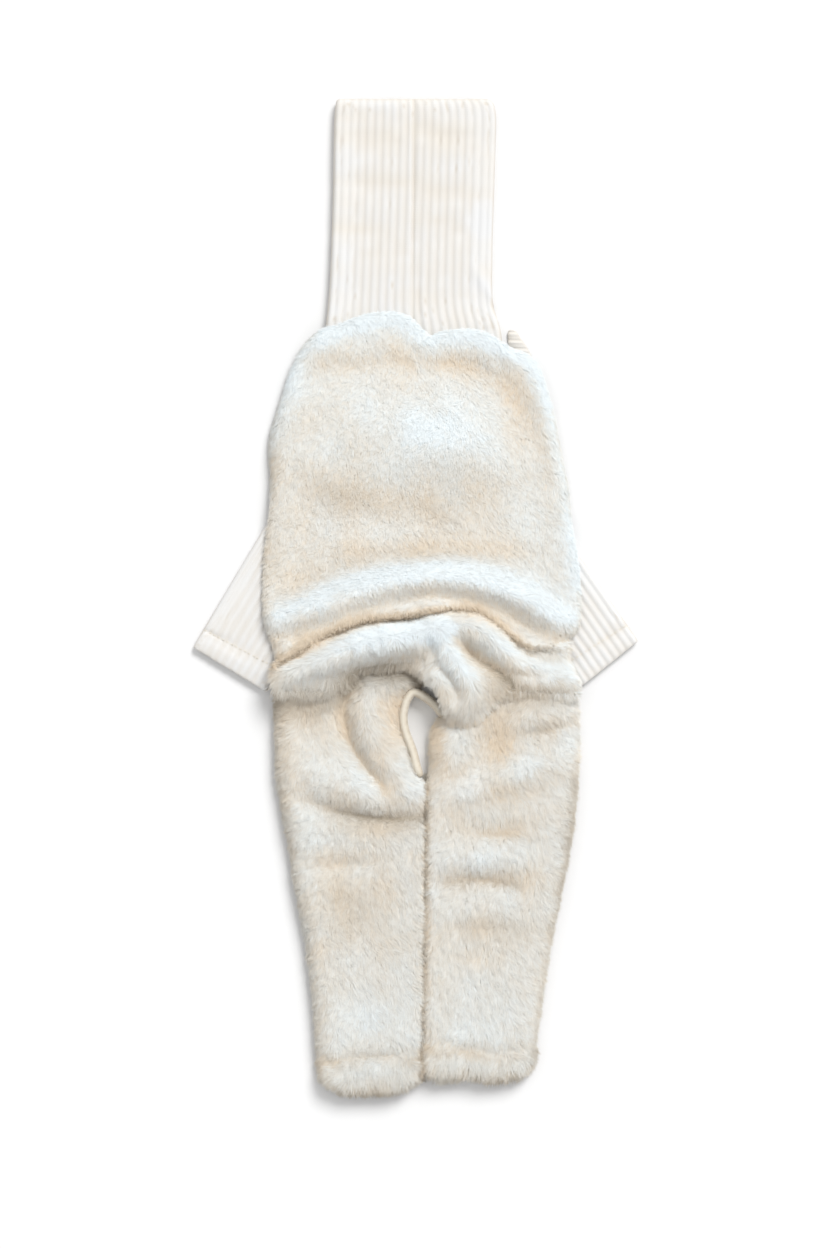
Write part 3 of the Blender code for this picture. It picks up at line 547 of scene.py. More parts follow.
def subdivide(obj: bpy.types.Object, levels: int) -> None:
    """Rounds a piece's form with subdivision, applied.

    Args:
        obj: The piece.
        levels: How many times it is divided.
    """
    modifier = obj.modifiers.new("round", "SUBSURF")
    modifier.levels = levels
    modifier.render_levels = levels
    bpy.context.view_layer.update()
    depsgraph = bpy.context.evaluated_depsgraph_get()
    mesh = bpy.data.meshes.new_from_object(obj.evaluated_get(depsgraph))
    obj.modifiers.clear()
    obj.data = mesh


def thicken(obj: bpy.types.Object, thickness: float) -> None:
    """Gives a shell its thickness, inwards from its outer face.

    Args:
        obj: The shell.
        thickness: How thick it becomes.
    """
    modifier = obj.modifiers.new("cloth", "SOLIDIFY")
    modifier.thickness = thickness
    modifier.offset = -1.0


def vertices_of(mesh: bpy.types.Mesh) -> np.ndarray:
    """A mesh's points as an array.

    Args:
        mesh: The mesh.

    Returns:
        A row of three numbers for each point.
    """
    points = np.zeros(len(mesh.vertices) * 3)
    mesh.vertices.foreach_get("co", points)
    return points.reshape(-1, 3)


def normals_of(mesh: bpy.types.Mesh) -> np.ndarray:
    """A mesh's point normals as an array.

    Args:
        mesh: The mesh.

    Returns:
        A row of three numbers for each point.
    """
    normals = np.zeros(len(mesh.vertices) * 3, np.float32)
    mesh.vertex_normals.foreach_get("vector", normals)
    return normals.reshape(-1, 3).astype(float)


def triangle_mesh(name: str, points: np.ndarray, corners: np.ndarray) -> bpy.types.Mesh:
    """Makes a mesh of triangles.

    Args:
        name: Its name.
        points: Its points.
        corners: The numbers of each triangle's three points.

    Returns:
        The mesh.
    """
    mesh = bpy.data.meshes.new(name)
    mesh.vertices.add(len(points))
    mesh.vertices.foreach_set("co", points.ravel())
    mesh.loops.add(corners.size)
    mesh.loops.foreach_set("vertex_index", corners.ravel().astype(np.int32))
    mesh.polygons.add(len(corners))
    mesh.polygons.foreach_set("loop_start", (3 * np.arange(len(corners))).astype(np.int32))
    mesh.update()
    return mesh


def mark(mesh: bpy.types.Mesh, name: str, values: np.ndarray) -> None:
    """Stores one number for each point, for the material to read."""
    attribute = mesh.attributes.new(name, "FLOAT", "POINT")
    attribute.data.foreach_set("value", values.astype(np.float32))


@dataclass(frozen=True)
class Patch:
    """A round patch where something changes, by an amount that fades out over its reach.

    Its place and its reaches are in millimetres.
    """

    x: float
    y: float
    reach_x: float
    reach_y: float
    amount: float

    def at(self, x: np.ndarray, y: np.ndarray) -> np.ndarray:
        """The patch's amount at each place."""
        away = ((x / MM - self.x) / self.reach_x) ** 2 + ((y / MM - self.y) / self.reach_y) ** 2
        return self.amount * np.exp(-away)


@dataclass(frozen=True)
class Band:
    """A change along a route, by an amount that fades out over its reach to both sides.

    Its reach and its route's points are in millimetres, and each point is x, y and the amount there.
    """

    reach: float
    route: tuple

    def at(self, x: np.ndarray, y: np.ndarray) -> np.ndarray:
        """The band's amount at each place.

        Args:
            x: The places across, in metres.
            y: The places along, in metres.

        Returns:
            The amounts, from the nearest point of the route.
        """
        nearest, amount = np.full(x.shape, np.inf), np.zeros(x.shape)
        for (ax, ay, start), (bx, by, end) in zip(self.route, self.route[1:]):
            run_x, run_y = bx - ax, by - ay
            across, along = x / MM - ax, y / MM - ay
            share = np.clip((across * run_x + along * run_y) / (run_x ** 2 + run_y ** 2), 0, 1)
            away = np.hypot(across - share * run_x, along - share * run_y)
            amount = np.where(away < nearest, start + share * (end - start), amount)
            nearest = np.minimum(away, nearest)
        return amount * np.exp(-((nearest / self.reach) ** 2))


@dataclass(frozen=True)
class Crease(Band):
    """A soft trough along a route, or a ridge where the amount, its rise in millimetres, is positive."""

    def at(self, x: np.ndarray, y: np.ndarray) -> np.ndarray:
        """How much the crease raises each place, in metres."""
        return MM * super().at(x, y)


def total_at(marks: tuple, x: np.ndarray, y: np.ndarray) -> np.ndarray:
    """The sum of all patches, bands or creases at each place."""
    return sum((each.at(x, y) for each in marks), 0 * x)


class HeightMap:
    """A cloth's height over the floor on a plan grid, and how far each place stands over its surroundings."""

    MARGIN = 30 * MM
    UPWARD = 0.1  # points whose normals rise less than this are left out
    LOW_SHARE = 0.35  # and on a lone piece those lower than this share of its height
    NO_CLOTH = 0.1

    def __init__(self, meshes: list[bpy.types.Mesh], cell: float, spread: float) -> None:
        """Reads the cloth's upper points and blurs them.

        Args:
            meshes: The cloth's meshes.
            cell: The grid's pitch.
            spread: How wide the surroundings are.
        """
        self.cell = cell
        points = np.vstack([vertices_of(mesh)[normals_of(mesh)[:, 2] > self.UPWARD] for mesh in meshes])
        points = points[points[:, 2] > self.LOW_SHARE * points[:, 2].max() * (len(meshes) == 1)]
        self.low = points[:, :2].min(0) - self.MARGIN
        size = np.ceil((points[:, :2].max(0) + self.MARGIN - self.low) / cell).astype(int)
        cells = np.floor((points[:, :2] - self.low) / cell).astype(int)
        height = np.zeros(size)
        np.maximum.at(height, (cells[:, 0], cells[:, 1]), points[:, 2])
        near = self.blurred((height > 0).astype(float), 1.0)
        inside = near > self.NO_CLOTH
        self.height = np.where(inside, self.blurred(height, 1.0) / np.maximum(near, 1e-6), 0.0)
        weight = self.blurred(inside.astype(float), spread / cell)
        around = self.blurred(self.height, spread / cell) / np.maximum(weight, 1e-6)
        self.stand = np.where(inside, self.height - around, 0.0)

    @staticmethod
    def blurred(field: np.ndarray, sigma: float) -> np.ndarray:
        """Blurs a field by a bell curve.

        Args:
            field: The grid's numbers.
            sigma: The curve's half width, in cells.

        Returns:
            The blurred field.
        """
        reach = int(math.ceil(3 * sigma))
        bell = np.exp(-0.5 * (np.arange(-reach, reach + 1) / sigma) ** 2)
        bell /= bell.sum()
        for axis in (0, 1):
            field = np.apply_along_axis(lambda line: np.convolve(line, bell, mode="same"), axis, field)
        return field

    def read(self, field: np.ndarray, x: np.ndarray, y: np.ndarray) -> np.ndarray:
        """Reads a field of the grid at places between its cells' middles.

        Args:
            field: The grid's numbers.
            x: The places across, in metres.
            y: The places along, in metres.

        Returns:
            The field there.
        """
        u = (x - self.low[0]) / self.cell - 0.5
        v = (y - self.low[1]) / self.cell - 0.5
        i = np.clip(np.floor(u).astype(int), 0, field.shape[0] - 2)
        j = np.clip(np.floor(v).astype(int), 0, field.shape[1] - 2)
        p, q = np.clip(u - i, 0, 1), np.clip(v - j, 0, 1)
        return (field[i, j] * (1 - p) * (1 - q) + field[i + 1, j] * p * (1 - q)
                + field[i, j + 1] * (1 - p) * q + field[i + 1, j + 1] * p * q)

    def height_at(self, x: np.ndarray, y: np.ndarray) -> np.ndarray:
        """How high the cloth is at places, in metres."""
        return self.read(self.height, x, y)

    def stand_at(self, x: np.ndarray, y: np.ndarray) -> np.ndarray:
        """How far places stand over their surroundings, in metres."""
        return self.read(self.stand, x, y)


# ---------------------------------------------------------------------------------------------------------
# Pile
# ---------------------------------------------------------------------------------------------------------

UP = np.array([0.0, 0.0, 1.0])
DROOP = 0.35  # how much the locks on a steep side hang down it
SOFT_LIFT = 0.8  # how far the pile's shading turns towards straight up, as light soaks into fur
LOCK_FACING = 0.3  # and how far it turns with each lock's own face
# Painted light: the pile's tone is made cooler where it faces the lamp or stands proud, and warmer or darker
# in dips
LIGHT_WAY = np.array([0.3, 0.63, 0.71])  # towards the lamp
LIGHT_LEVEL = 0.7  # how far cloth faces it where that doesn't change the tone
LEAST_FACING = 0.6  # cloth that is turned further away counts as this
LIGHT_COOLS = 1.1  # how much cooler the pile looks where it faces the lamp
STAND_COOLS = 0.035 / MM  # and where it stands over its surroundings
LEAST_STAND, MOST_STAND = -3.0 * MM, 6.0 * MM  # a deeper dip or a higher ridge counts as this
# painted shade in dips
DIP_SHADE = 0.025 / MM  # how much deeper the tone is in a dip
FLAT_FROM, FLAT_OVER = 0.55, 0.35  # how far up a normal points where a dip starts to count, and the fade
SIDE_FROM, SIDE_SHARE = 0.6, 0.25  # tones fade on sides steeper than this, down to that share of them
TONE_SWELL, TONE_SWELL_SIZE = 0.07, 30 * MM  # how far the warmth drifts to and fro, and over what length
NAP_SWELLS = ((0.35, 22 * MM), (0.4, 7 * MM))  # how far the nap turns to and fro, and over what length
SEAM_SINK = 0.2 * MM  # how far under the backing's face a seam's own locks start
SEAM_SPREAD = 1.0 * MM  # how far they stray from the seam
FLOOR_GAP = 0.4 * MM  # how far the locks' tips stay over the floor
# the backing gets the roots' painted shade, as if partway along a lock, and a little more painted shade
UNDERFUR_ALONG, UNDERFUR_SHADE = 0.6, 0.05  # how the backing is toned between the locks

# How the clumps, and the locks in them, differ by chance. A pair is the least and how far over it they go.
CLUMP_LENGTHS, LOCK_LENGTHS, LOCK_WIDTHS = (0.85, 0.3), (0.75, 0.5), (0.7, 0.6)
CLUMP_LIFT, CLUMP_WARMTH, CLUMP_SHADE = 0.2, 0.2, 0.14
CLUMP_SHADE_MIDDLE, LOCK_SHADE_MIDDLE = 0.4, 0.01  # what draws for the shade are set off from or about
LOCK_TURN, LOCK_LIFT, LOCK_TWIST, LOCK_WARMTH, LOCK_SHADE = 0.2, 0.05, 0.16, 0.06, 0.05


@dataclass(frozen=True)
class Pile:
    """The plush's pile: how many locks there are, their size, and how far they lean from straight up."""

    count: int
    length: float
    width: float
    lean: float = 1.42
    loft: float = 1.0 * MM  # the locks start at uneven heights, up to this far over the backing
    clump: float = 1.8 * MM  # how wide a clump is
    pull: float = 0.4  # how far its tips are drawn to its middle
    tufts: float = 0.45  # how far the clumps turn and lift away from each other
    seed: int = 1


@dataclass(frozen=True)
class Seam:
    """A seam that has locks of its own, which fill the slot between two pieces.

    The lean is how far they lean from straight up, and each point of the route is x and y in millimetres.
    """

    lean: float
    route: tuple


def ranged(least: float, reach: float, draws: np.ndarray) -> np.ndarray:
    """Numbers from the least one up over a reach, by draws from 0 to 1."""
    return least + reach * draws


def unit(vectors: np.ndarray) -> np.ndarray:
    """Vectors brought to a length of 1."""
    return vectors / np.maximum(np.linalg.norm(vectors, axis=1, keepdims=True), 1e-9)


def along_surface(vectors: np.ndarray, normal: np.ndarray) -> np.ndarray:
    """What is left of vectors once their part along a normal is taken off."""
    return vectors - normal * np.sum(vectors * normal, 1, keepdims=True)


def swell(x: np.ndarray, y: np.ndarray, size: float, seed: int) -> np.ndarray:
    """Smooth noise, mostly from -1 to 1, as a sum of waves that run all ways.

    Args:
        x: Places across, in metres.
        y: Places along, in metres.
        size: The waves' usual length.
        seed: Which noise it is.

    Returns:
        The noise at each place.
    """
    rng = np.random.default_rng(seed)
    waves, least, reach = 7, 0.7, 0.7
    total = np.zeros(x.shape)
    for _ in range(waves):
        way, phase = rng.random(2) * 2 * math.pi
        pace = 2 * math.pi / (size * (least + reach * rng.random()))
        total += np.sin(pace * (x * math.cos(way) + y * math.sin(way)) + phase)
    return total / math.sqrt(waves)


def clumps_at(x: np.ndarray, y: np.ndarray, size: float, rng: np.random.Generator
              ) -> tuple[np.ndarray, int]:
    """Finds each root's clump: the nearest of one random spot in every square of a grid.

    Args:
        x: The roots' places across.
        y: Their places along.
        size: The squares' side.
        rng: The source of chance.

    Returns:
        Each root's clump number, and how many clumps there are.
    """
    u = x / size - np.floor(x.min() / size) + 1
    v = y / size - np.floor(y.min() / size) + 1
    column, row = np.floor(u).astype(int), np.floor(v).astype(int)
    spots = rng.random((column.max() + 2, row.max() + 2, 2))
    nearest = np.full(x.shape, np.inf)
    clump = np.zeros(x.shape, int)
    for step_u in (-1, 0, 1):
        for step_v in (-1, 0, 1):
            i, j = column + step_u, row + step_v
            away = (i + spots[i, j, 0] - u) ** 2 + (j + spots[i, j, 1] - v) ** 2
            closer = away < nearest
            nearest = np.where(closer, away, nearest)
            clump = np.where(closer, i * spots.shape[1] + j, clump)
    return clump, spots.shape[0] * spots.shape[1]


@dataclass(frozen=True)
class Coat:
    """Grows a pile of fine pointed locks on a plush shell, as one joined mesh.

    Flow gives the way the nap lies, downhill how much it also falls down the cloth's own slopes, and the
    patches paint highlight and shade into the tone, with some plain tone, and make the locks longer.
    """

    pile: Pile
    flow: Callable
    downhill: float = 0.9
    # patches of painted highlight and shade, and some plain tone
    painted_light_and_tone_patches: tuple = ()
    painted_shade_and_tone_patches: tuple = ()
    long_patches: tuple = ()
    seams: tuple = ()
    seam_locks: float = 26  # in each millimetre of a seam

    DRIFT_SEED = 50  # what is added to the pile's seed for the drift of its warmth
    PLAIN = 0.5  # the warmth where nothing changes it

    def warmth_at(self, points: np.ndarray, normal: np.ndarray, heights: HeightMap) -> np.ndarray:
        """How warm the tone is, with painted highlight cool on ridges and towards the lamp, painted shade
        warm in dips.

        Args:
            points: The places.
            normal: Their normals.
            heights: The plush's height map.

        Returns:
            The warmth, mostly from 0 to 1.
        """
        x, y = points[:, 0], points[:, 1]
        facing = np.maximum(normal @ LIGHT_WAY, LEAST_FACING) - LIGHT_LEVEL
        warmth = -STAND_COOLS * self.dip_at(points, normal, heights) - LIGHT_COOLS * facing
        drift = TONE_SWELL * swell(x, y, TONE_SWELL_SIZE, self.pile.seed + self.DRIFT_SEED)
        warmth += total_at(self.painted_light_and_tone_patches, x, y) + drift
        return self.PLAIN + warmth * np.clip(normal[:, 2] / SIDE_FROM, SIDE_SHARE, 1)

    @staticmethod
    def dip_at(points: np.ndarray, normal: np.ndarray, heights: HeightMap) -> np.ndarray:
        """How far places stand up, or dip with a minus sign, where a sloping edge doesn't count as a dip.

        Args:
            points: The places.
            normal: Their normals.
            heights: The plush's height map.

        Returns:
            The heights in metres, within their limits.
        """
        stand = np.clip(heights.stand_at(points[:, 0], points[:, 1]), LEAST_STAND, MOST_STAND)
        flat = np.clip((normal[:, 2] - FLAT_FROM) / FLAT_OVER, 0, 1)
        return np.where(stand < 0, stand * flat, stand)

    def shade_at(self, points: np.ndarray, normal: np.ndarray, heights: HeightMap) -> np.ndarray:
        """How much deeper the tone is at each place: painted shade in dips, and the patches' painted shade
        and tone.
        """
        dip = np.minimum(self.dip_at(points, normal, heights), 0)
        return total_at(self.painted_shade_and_tone_patches, points[:, 0], points[:, 1]) - DIP_SHADE * dip

    def tint(self, shell: bpy.types.Mesh, heights: HeightMap) -> None:
        """Marks the shell with its tone, painted highlight and painted shade, as fur seen between the locks.

        Args:
            shell: The backing's mesh.
            heights: The plush's height map.
        """
        points, normal = vertices_of(shell), normals_of(shell)
        mark(shell, "warmth", np.clip(self.warmth_at(points, normal, heights), 0, 1))
        mark(shell, "along", np.full(len(points), UNDERFUR_ALONG))
        mark(shell, "shade", np.clip(self.shade_at(points, normal, heights) + UNDERFUR_SHADE, 0, 1))

    def roots(self, mesh: bpy.types.Mesh, rng: np.random.Generator) -> tuple[np.ndarray, np.ndarray]:
        """Spreads the roots evenly over the shell.

        Args:
            mesh: The shell, before it has its thickness.
            rng: The source of chance.

        Returns:
            The roots' points and normals.
        """
        count = self.pile.count
        mesh.calc_loop_triangles()
        triangles = np.zeros(len(mesh.loop_triangles) * 3, np.int32)
        mesh.loop_triangles.foreach_get("vertices", triangles)
        triangles = triangles.reshape(-1, 3)
        points, normals = vertices_of(mesh), normals_of(mesh)
        a, b, c = (points[triangles[:, k]] for k in range(3))
        area = np.linalg.norm(np.cross(b - a, c - a), axis=1)
        area *= np.clip((normals[triangles].mean(1)[:, 2] - UNDERSIDE) / -UNDERSIDE, 0, 1)
        steps = np.cumsum(area) / area.sum()
        even = (np.arange(count) + rng.random(count)) / count
        corners = triangles[np.minimum(np.searchsorted(steps, even), len(area) - 1)]
        r, s = rng.random((2, count, 1))
        over = r + s > 1
        r, s = np.where(over, 1 - r, r), np.where(over, 1 - s, s)
        shares = (1 - r - s, r, s)
        where = sum(points[corners[:, k]] * share for k, share in enumerate(shares))
        facing = sum(normals[corners[:, k]] * share for k, share in enumerate(shares))
        return where, unit(facing)

    def seam_roots(self, heights: HeightMap, rng: np.random.Generator) -> tuple[np.ndarray, np.ndarray]:
        """Spreads more roots along the seams.

        Args:
            heights: The plush's height map.
            rng: The source of chance.

        Returns:
            The roots' points and their leans.
        """
        roots, leans = [np.zeros((0, 3))], [np.zeros(0)]
        for seam in self.seams:
            route = np.array(seam.route)
            ends = np.concatenate([[0], np.cumsum(np.linalg.norm(np.diff(route, axis=0), axis=1))])
            count = int(ends[-1] * self.seam_locks)
            along = ends[-1] * rng.random(count)
            x, y = (np.interp(along, ends, line) * MM + rng.normal(0, SEAM_SPREAD, count)
                    for line in route.T)
            roots.append(np.stack([x, y, heights.height_at(x, y) - SEAM_SINK], 1))
            leans.append(np.full(count, seam.lean))
        return np.vstack(roots), np.concatenate(leans)

    def nap(self, root: np.ndarray, normal: np.ndarray, clump: np.ndarray, clumps: int,
            rng: np.random.Generator) -> np.ndarray:
        """The way that each lock lies on the cloth.

        Args:
            root: The locks' roots.
            normal: The cloth's normals there.
            clump: Each lock's clump number.
            clumps: How many clumps there are.
            rng: The source of chance.

        Returns:
            The ways, along the cloth and of length 1.
        """
        x, y = root[:, 0], root[:, 1]
        turn = sum(reach * swell(x, y, size, self.pile.seed + number)
                   for number, (reach, size) in enumerate(NAP_SWELLS))
        turn += (rng.random(clumps) - 0.5)[clump] * self.pile.tufts
        turn += rng.normal(0, LOCK_TURN, len(root))
        flow_x, flow_y = self.flow(x, y)
        cos, sin = np.cos(turn), np.sin(turn)
        lie = np.stack([flow_x * cos - flow_y * sin, flow_x * sin + flow_y * cos, 0 * x], 1)
        lie[:, :2] += self.downhill * normal[:, :2]
        lie[:, 2] -= DROOP
        return unit(along_surface(lie, normal))

    def colour(self, mesh: bpy.types.Mesh, root: np.ndarray, normal: np.ndarray, heights: HeightMap,
               clump: np.ndarray, clumps: int, rng: np.random.Generator) -> None:
        """Marks the locks with their tones: painted highlight and shade, and random differences.

        Args:
            mesh: The locks.
            root: Their roots.
            normal: The cloth's normals there.
            heights: The plush's height map.
            clump: Each lock's clump number.
            clumps: How many clumps there are.
            rng: The source of chance.
        """
        count = len(root)
        warmth = self.warmth_at(root, normal, heights) + CLUMP_WARMTH * (rng.random(clumps) - 0.5)[clump]
        warmth = np.clip(warmth + rng.normal(0, LOCK_WARMTH, count), 0, 1)
        shade = self.shade_at(root, normal, heights)
        shade = shade + CLUMP_SHADE * (rng.random(clumps) - CLUMP_SHADE_MIDDLE)[clump]
        shade += rng.normal(LOCK_SHADE_MIDDLE, LOCK_SHADE, count)
        mark(mesh, "warmth", np.repeat(warmth, 3))
        mark(mesh, "along", np.tile([0.0, 0.0, 1.0], count))
        mark(mesh, "shade", np.repeat(np.clip(shade, 0, 1), 3))

    def grow(self, name: str, shell: bpy.types.Object, heights: HeightMap,
             material: bpy.types.Material) -> bpy.types.Object:
        """Grows the coat.

        Args:
            name: The new piece's name.
            shell: The shell that it grows on.
            heights: The plush's height map.
            material: The fibre's finish.

        Returns:
            The coat.
        """
        pile = self.pile
        rng = np.random.default_rng(pile.seed)
        root, normal = self.roots(shell.data, rng)
        on_seams, seam_leans = self.seam_roots(heights, rng)
        lean = np.concatenate([np.full(len(root), pile.lean), seam_leans])
        root += normal * pile.loft * rng.random((len(root), 1))
        root = np.vstack([root, on_seams])
        normal = np.vstack([normal, np.tile(UP, (len(on_seams), 1))])
        count = len(root)
        clump, clumps = clumps_at(root[:, 0], root[:, 1], pile.clump, rng)
        members = np.maximum(np.bincount(clump, minlength=clumps), 1)
        middle = np.stack([np.bincount(clump, root[:, k], clumps) / members for k in range(3)], 1)[clump]
        lie = self.nap(root, normal, clump, clumps, rng)

        stretch = ranged(*CLUMP_LENGTHS, rng.random(clumps))[clump]
        stretch = stretch * ranged(*LOCK_LENGTHS, rng.random(count))
        long = 1.0 + total_at(self.long_patches, root[:, 0], root[:, 1])
        length = (pile.length * stretch * long)[:, None]
        lift = (rng.random(clumps) - 0.5)[clump] * CLUMP_LIFT * pile.tufts + rng.normal(0, LOCK_LIFT, count)
        lean = (lean - lift)[:, None]
        tip = root + length * (normal * np.cos(lean) + lie * np.sin(lean))
        tip += pile.pull * along_surface(middle - root, normal)
        tip[:, 2] = np.maximum(tip[:, 2], FLOOR_GAP)

        run = unit(tip - root)
        side = unit(np.cross(run, normal))
        twist = rng.normal(0, LOCK_TWIST, (count, 1))
        side = unit(side * np.cos(twist) + np.cross(run, side) * np.sin(twist))
        half = 0.5 * pile.width * ranged(*LOCK_WIDTHS, rng.random((count, 1)))
        points = np.stack([root - side * half, root + side * half, tip], 1).reshape(-1, 3)
        facing = np.cross(side, run)
        back = np.sum(facing * normal, 1, keepdims=True) < 0
        corners = np.where(back, [[0, 2, 1]], [[0, 1, 2]]) + 3 * np.arange(count)[:, None]
        mesh = triangle_mesh(name, points, corners)
        obj = new_object(name, mesh, material)

        shading = unit(normal + UP * SOFT_LIFT + np.where(back, -facing, facing) * LOCK_FACING)
        mesh.normals_split_custom_set_from_vertices(np.repeat(shading, 3, 0))
        self.colour(mesh, root, normal, heights, clump, clumps, rng)
        self.chart(mesh, count)
        return obj

    @staticmethod
    def chart(mesh: bpy.types.Mesh, count: int) -> None:
        """Lays each lock out in a cell of its own, in a UV map of its own.

        Args:
            mesh: The locks.
            count: How many there are.
        """
        across = math.ceil(math.sqrt(count))
        cell = np.stack([np.arange(count) % across, np.arange(count) // across], 1)[:, None, :]
        spots = np.array([[[0.15, 0.15], [0.85, 0.15], [0.5, 0.85]]])
        places = ((cell + spots) / across).reshape(-1, 2)
        corners = np.zeros(len(mesh.loops), np.int32)
        mesh.loops.foreach_get("vertex_index", corners)
        layer = mesh.uv_layers.new(name="OFBake")
        layer.data.foreach_set("uv", places[corners].ravel().astype(np.float32))


# ---------------------------------------------------------------------------------------------------------
# The romper's pieces
# ---------------------------------------------------------------------------------------------------------


@dataclass
class Piece:
    """One cut-and-sewn piece: the solid that it replaces, its cut and what it lies on."""

    node: str
    wall: Wall
    slot: Slot
    flat: tuple
    rests_on: tuple
    area: float | None = None
    held: str = "laid"

    def seat(self, shell: bpy.types.Object, trims: list[bpy.types.Object]) -> None:
        """Puts the shell and its trims on the body in the solid's place.

        Args:
            shell: The cloth.
            trims: What is sewn to it or grows on it.
        """
        for obj in (shell, *trims):
            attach(obj, BODY)
        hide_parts(self.node)
        LOG.info("%s: %d faces", shell.name, len(shell.data.polygons))


@dataclass
class KnitPiece(Piece):
    """A piece of plain or rib knit, whose own ribs and creases are on its upper layer."""

    creases: tuple = ()
    painted_light_and_tone_patches: tuple = ()
    stitches: tuple = ()
    levels: int = 2
    groove: float = 0.5 * MM  # how far a rib's groove lies under its surroundings
    plump: float = 0.0  # how far the cloth stands out over its solid

    UPPER_FROM, UPPER_OVER = 0.45, 0.1  # from which share of its height its creases show, and the fade
    RIB_CELL, RIB_AROUND = 0.6 * MM, 2.2 * MM  # how finely its ribs are read, and how far around
    # a little deep tone all over, then painted shade in the ribs' grooves and in creases
    LOW, GROOVE_LOW, CREASE_LOW = 0.3, 0.45, 0.25  # how much deep tone: all over, in grooves, in creases
    MOST_LOW = 0.9
    # a warm tone all over, and more of it as painted shade in creases
    WARM, CREASE_WARM = 0.4, 0.35  # how much warm tone: all over and in creases
    SWELL, SWELL_SIZE, SWELL_STRETCH, SWELL_SEED = 0.12, 14 * MM, 0.35, 7  # and how it drifts

    def build(self, material: bpy.types.Material, thread: bpy.types.Material) -> None:
        """Makes the cloth on its solid's form.

        Args:
            material: The knit's finish.
            thread: The sewing thread's finish.
        """
        bm = merged_copy(self.node)
        join_to_quads(bm)
        obj = object_of(bm, f"{self.node}_cloth", material)
        subdivide(obj, self.levels)
        mesh = obj.data
        points = vertices_of(mesh) + self.plump * normals_of(mesh)
        x, y = points[:, 0], points[:, 1]
        upper = np.clip((points[:, 2] / points[:, 2].max() - self.UPPER_FROM) / self.UPPER_OVER, 0, 1)
        relief = total_at(self.creases, x, y)
        points[:, 2] = np.maximum(points[:, 2] + relief * upper, 0)
        ribs = HeightMap([mesh], self.RIB_CELL, self.RIB_AROUND).stand_at(x, y)
        mesh.vertices.foreach_set("co", points.ravel())
        mesh.update()
        # painted shade in the ribs' grooves and in creases, painted highlight on rib tops and ridges
        low = self.LOW - self.GROOVE_LOW * ribs / self.groove - self.CREASE_LOW * relief / MM
        mark(mesh, "low", np.clip(low, 0, self.MOST_LOW))
        # painted warm shade in creases, cooler painted highlight on ridges, and the patches' painted
        # highlight and shade
        warmth = self.WARM + total_at(self.painted_light_and_tone_patches, x, y) - self.CREASE_WARM * relief / MM
        drift = self.SWELL * swell(self.SWELL_STRETCH * x, y, self.SWELL_SIZE, self.SWELL_SEED)
        mark(mesh, "warmth", np.clip(warmth + drift, 0, 1))
        self.seat(obj, [self.sew(obj, thread)] if self.stitches else [])

    def sew(self, cloth: bpy.types.Object, thread: bpy.types.Material) -> bpy.types.Object:
        """Sews its rows of stitches, lying on the cloth's upper side.

        Args:
            cloth: The cloth.
            thread: The thread's finish.

        Returns:
            All the stitches, joined.
        """
        surface = BVHTree.FromObject(cloth, bpy.context.evaluated_depsgraph_get())
        bm = bmesh.new()
        for (ax, ay), (bx, by) in self.stitches:
            start, run = Vector((ax, ay, 0)) * MM, Vector((bx - ax, by - ay, 0)) * MM
            count = int(run.length / STITCH_PITCH)
            turn = Matrix.Rotation(math.atan2(run.y, run.x), 4, "Z")
            size = Matrix.Diagonal((STITCH_LENGTH / 2, STITCH_WIDTH / 2, STITCH_WIDTH / 2, 1))
            for index in range(count):
                place = start + run * (index + 0.5) / count
                hit = surface.ray_cast(place + OVERHEAD, DOWN)[0]
                if hit is not None:
                    matrix = Matrix.Translation(hit - DOWN * STITCH_LIFT) @ turn @ size
                    bmesh.ops.create_icosphere(bm, subdivisions=2, radius=1, matrix=matrix)
        return object_of(bm, f"{self.node}_stitches", thread)


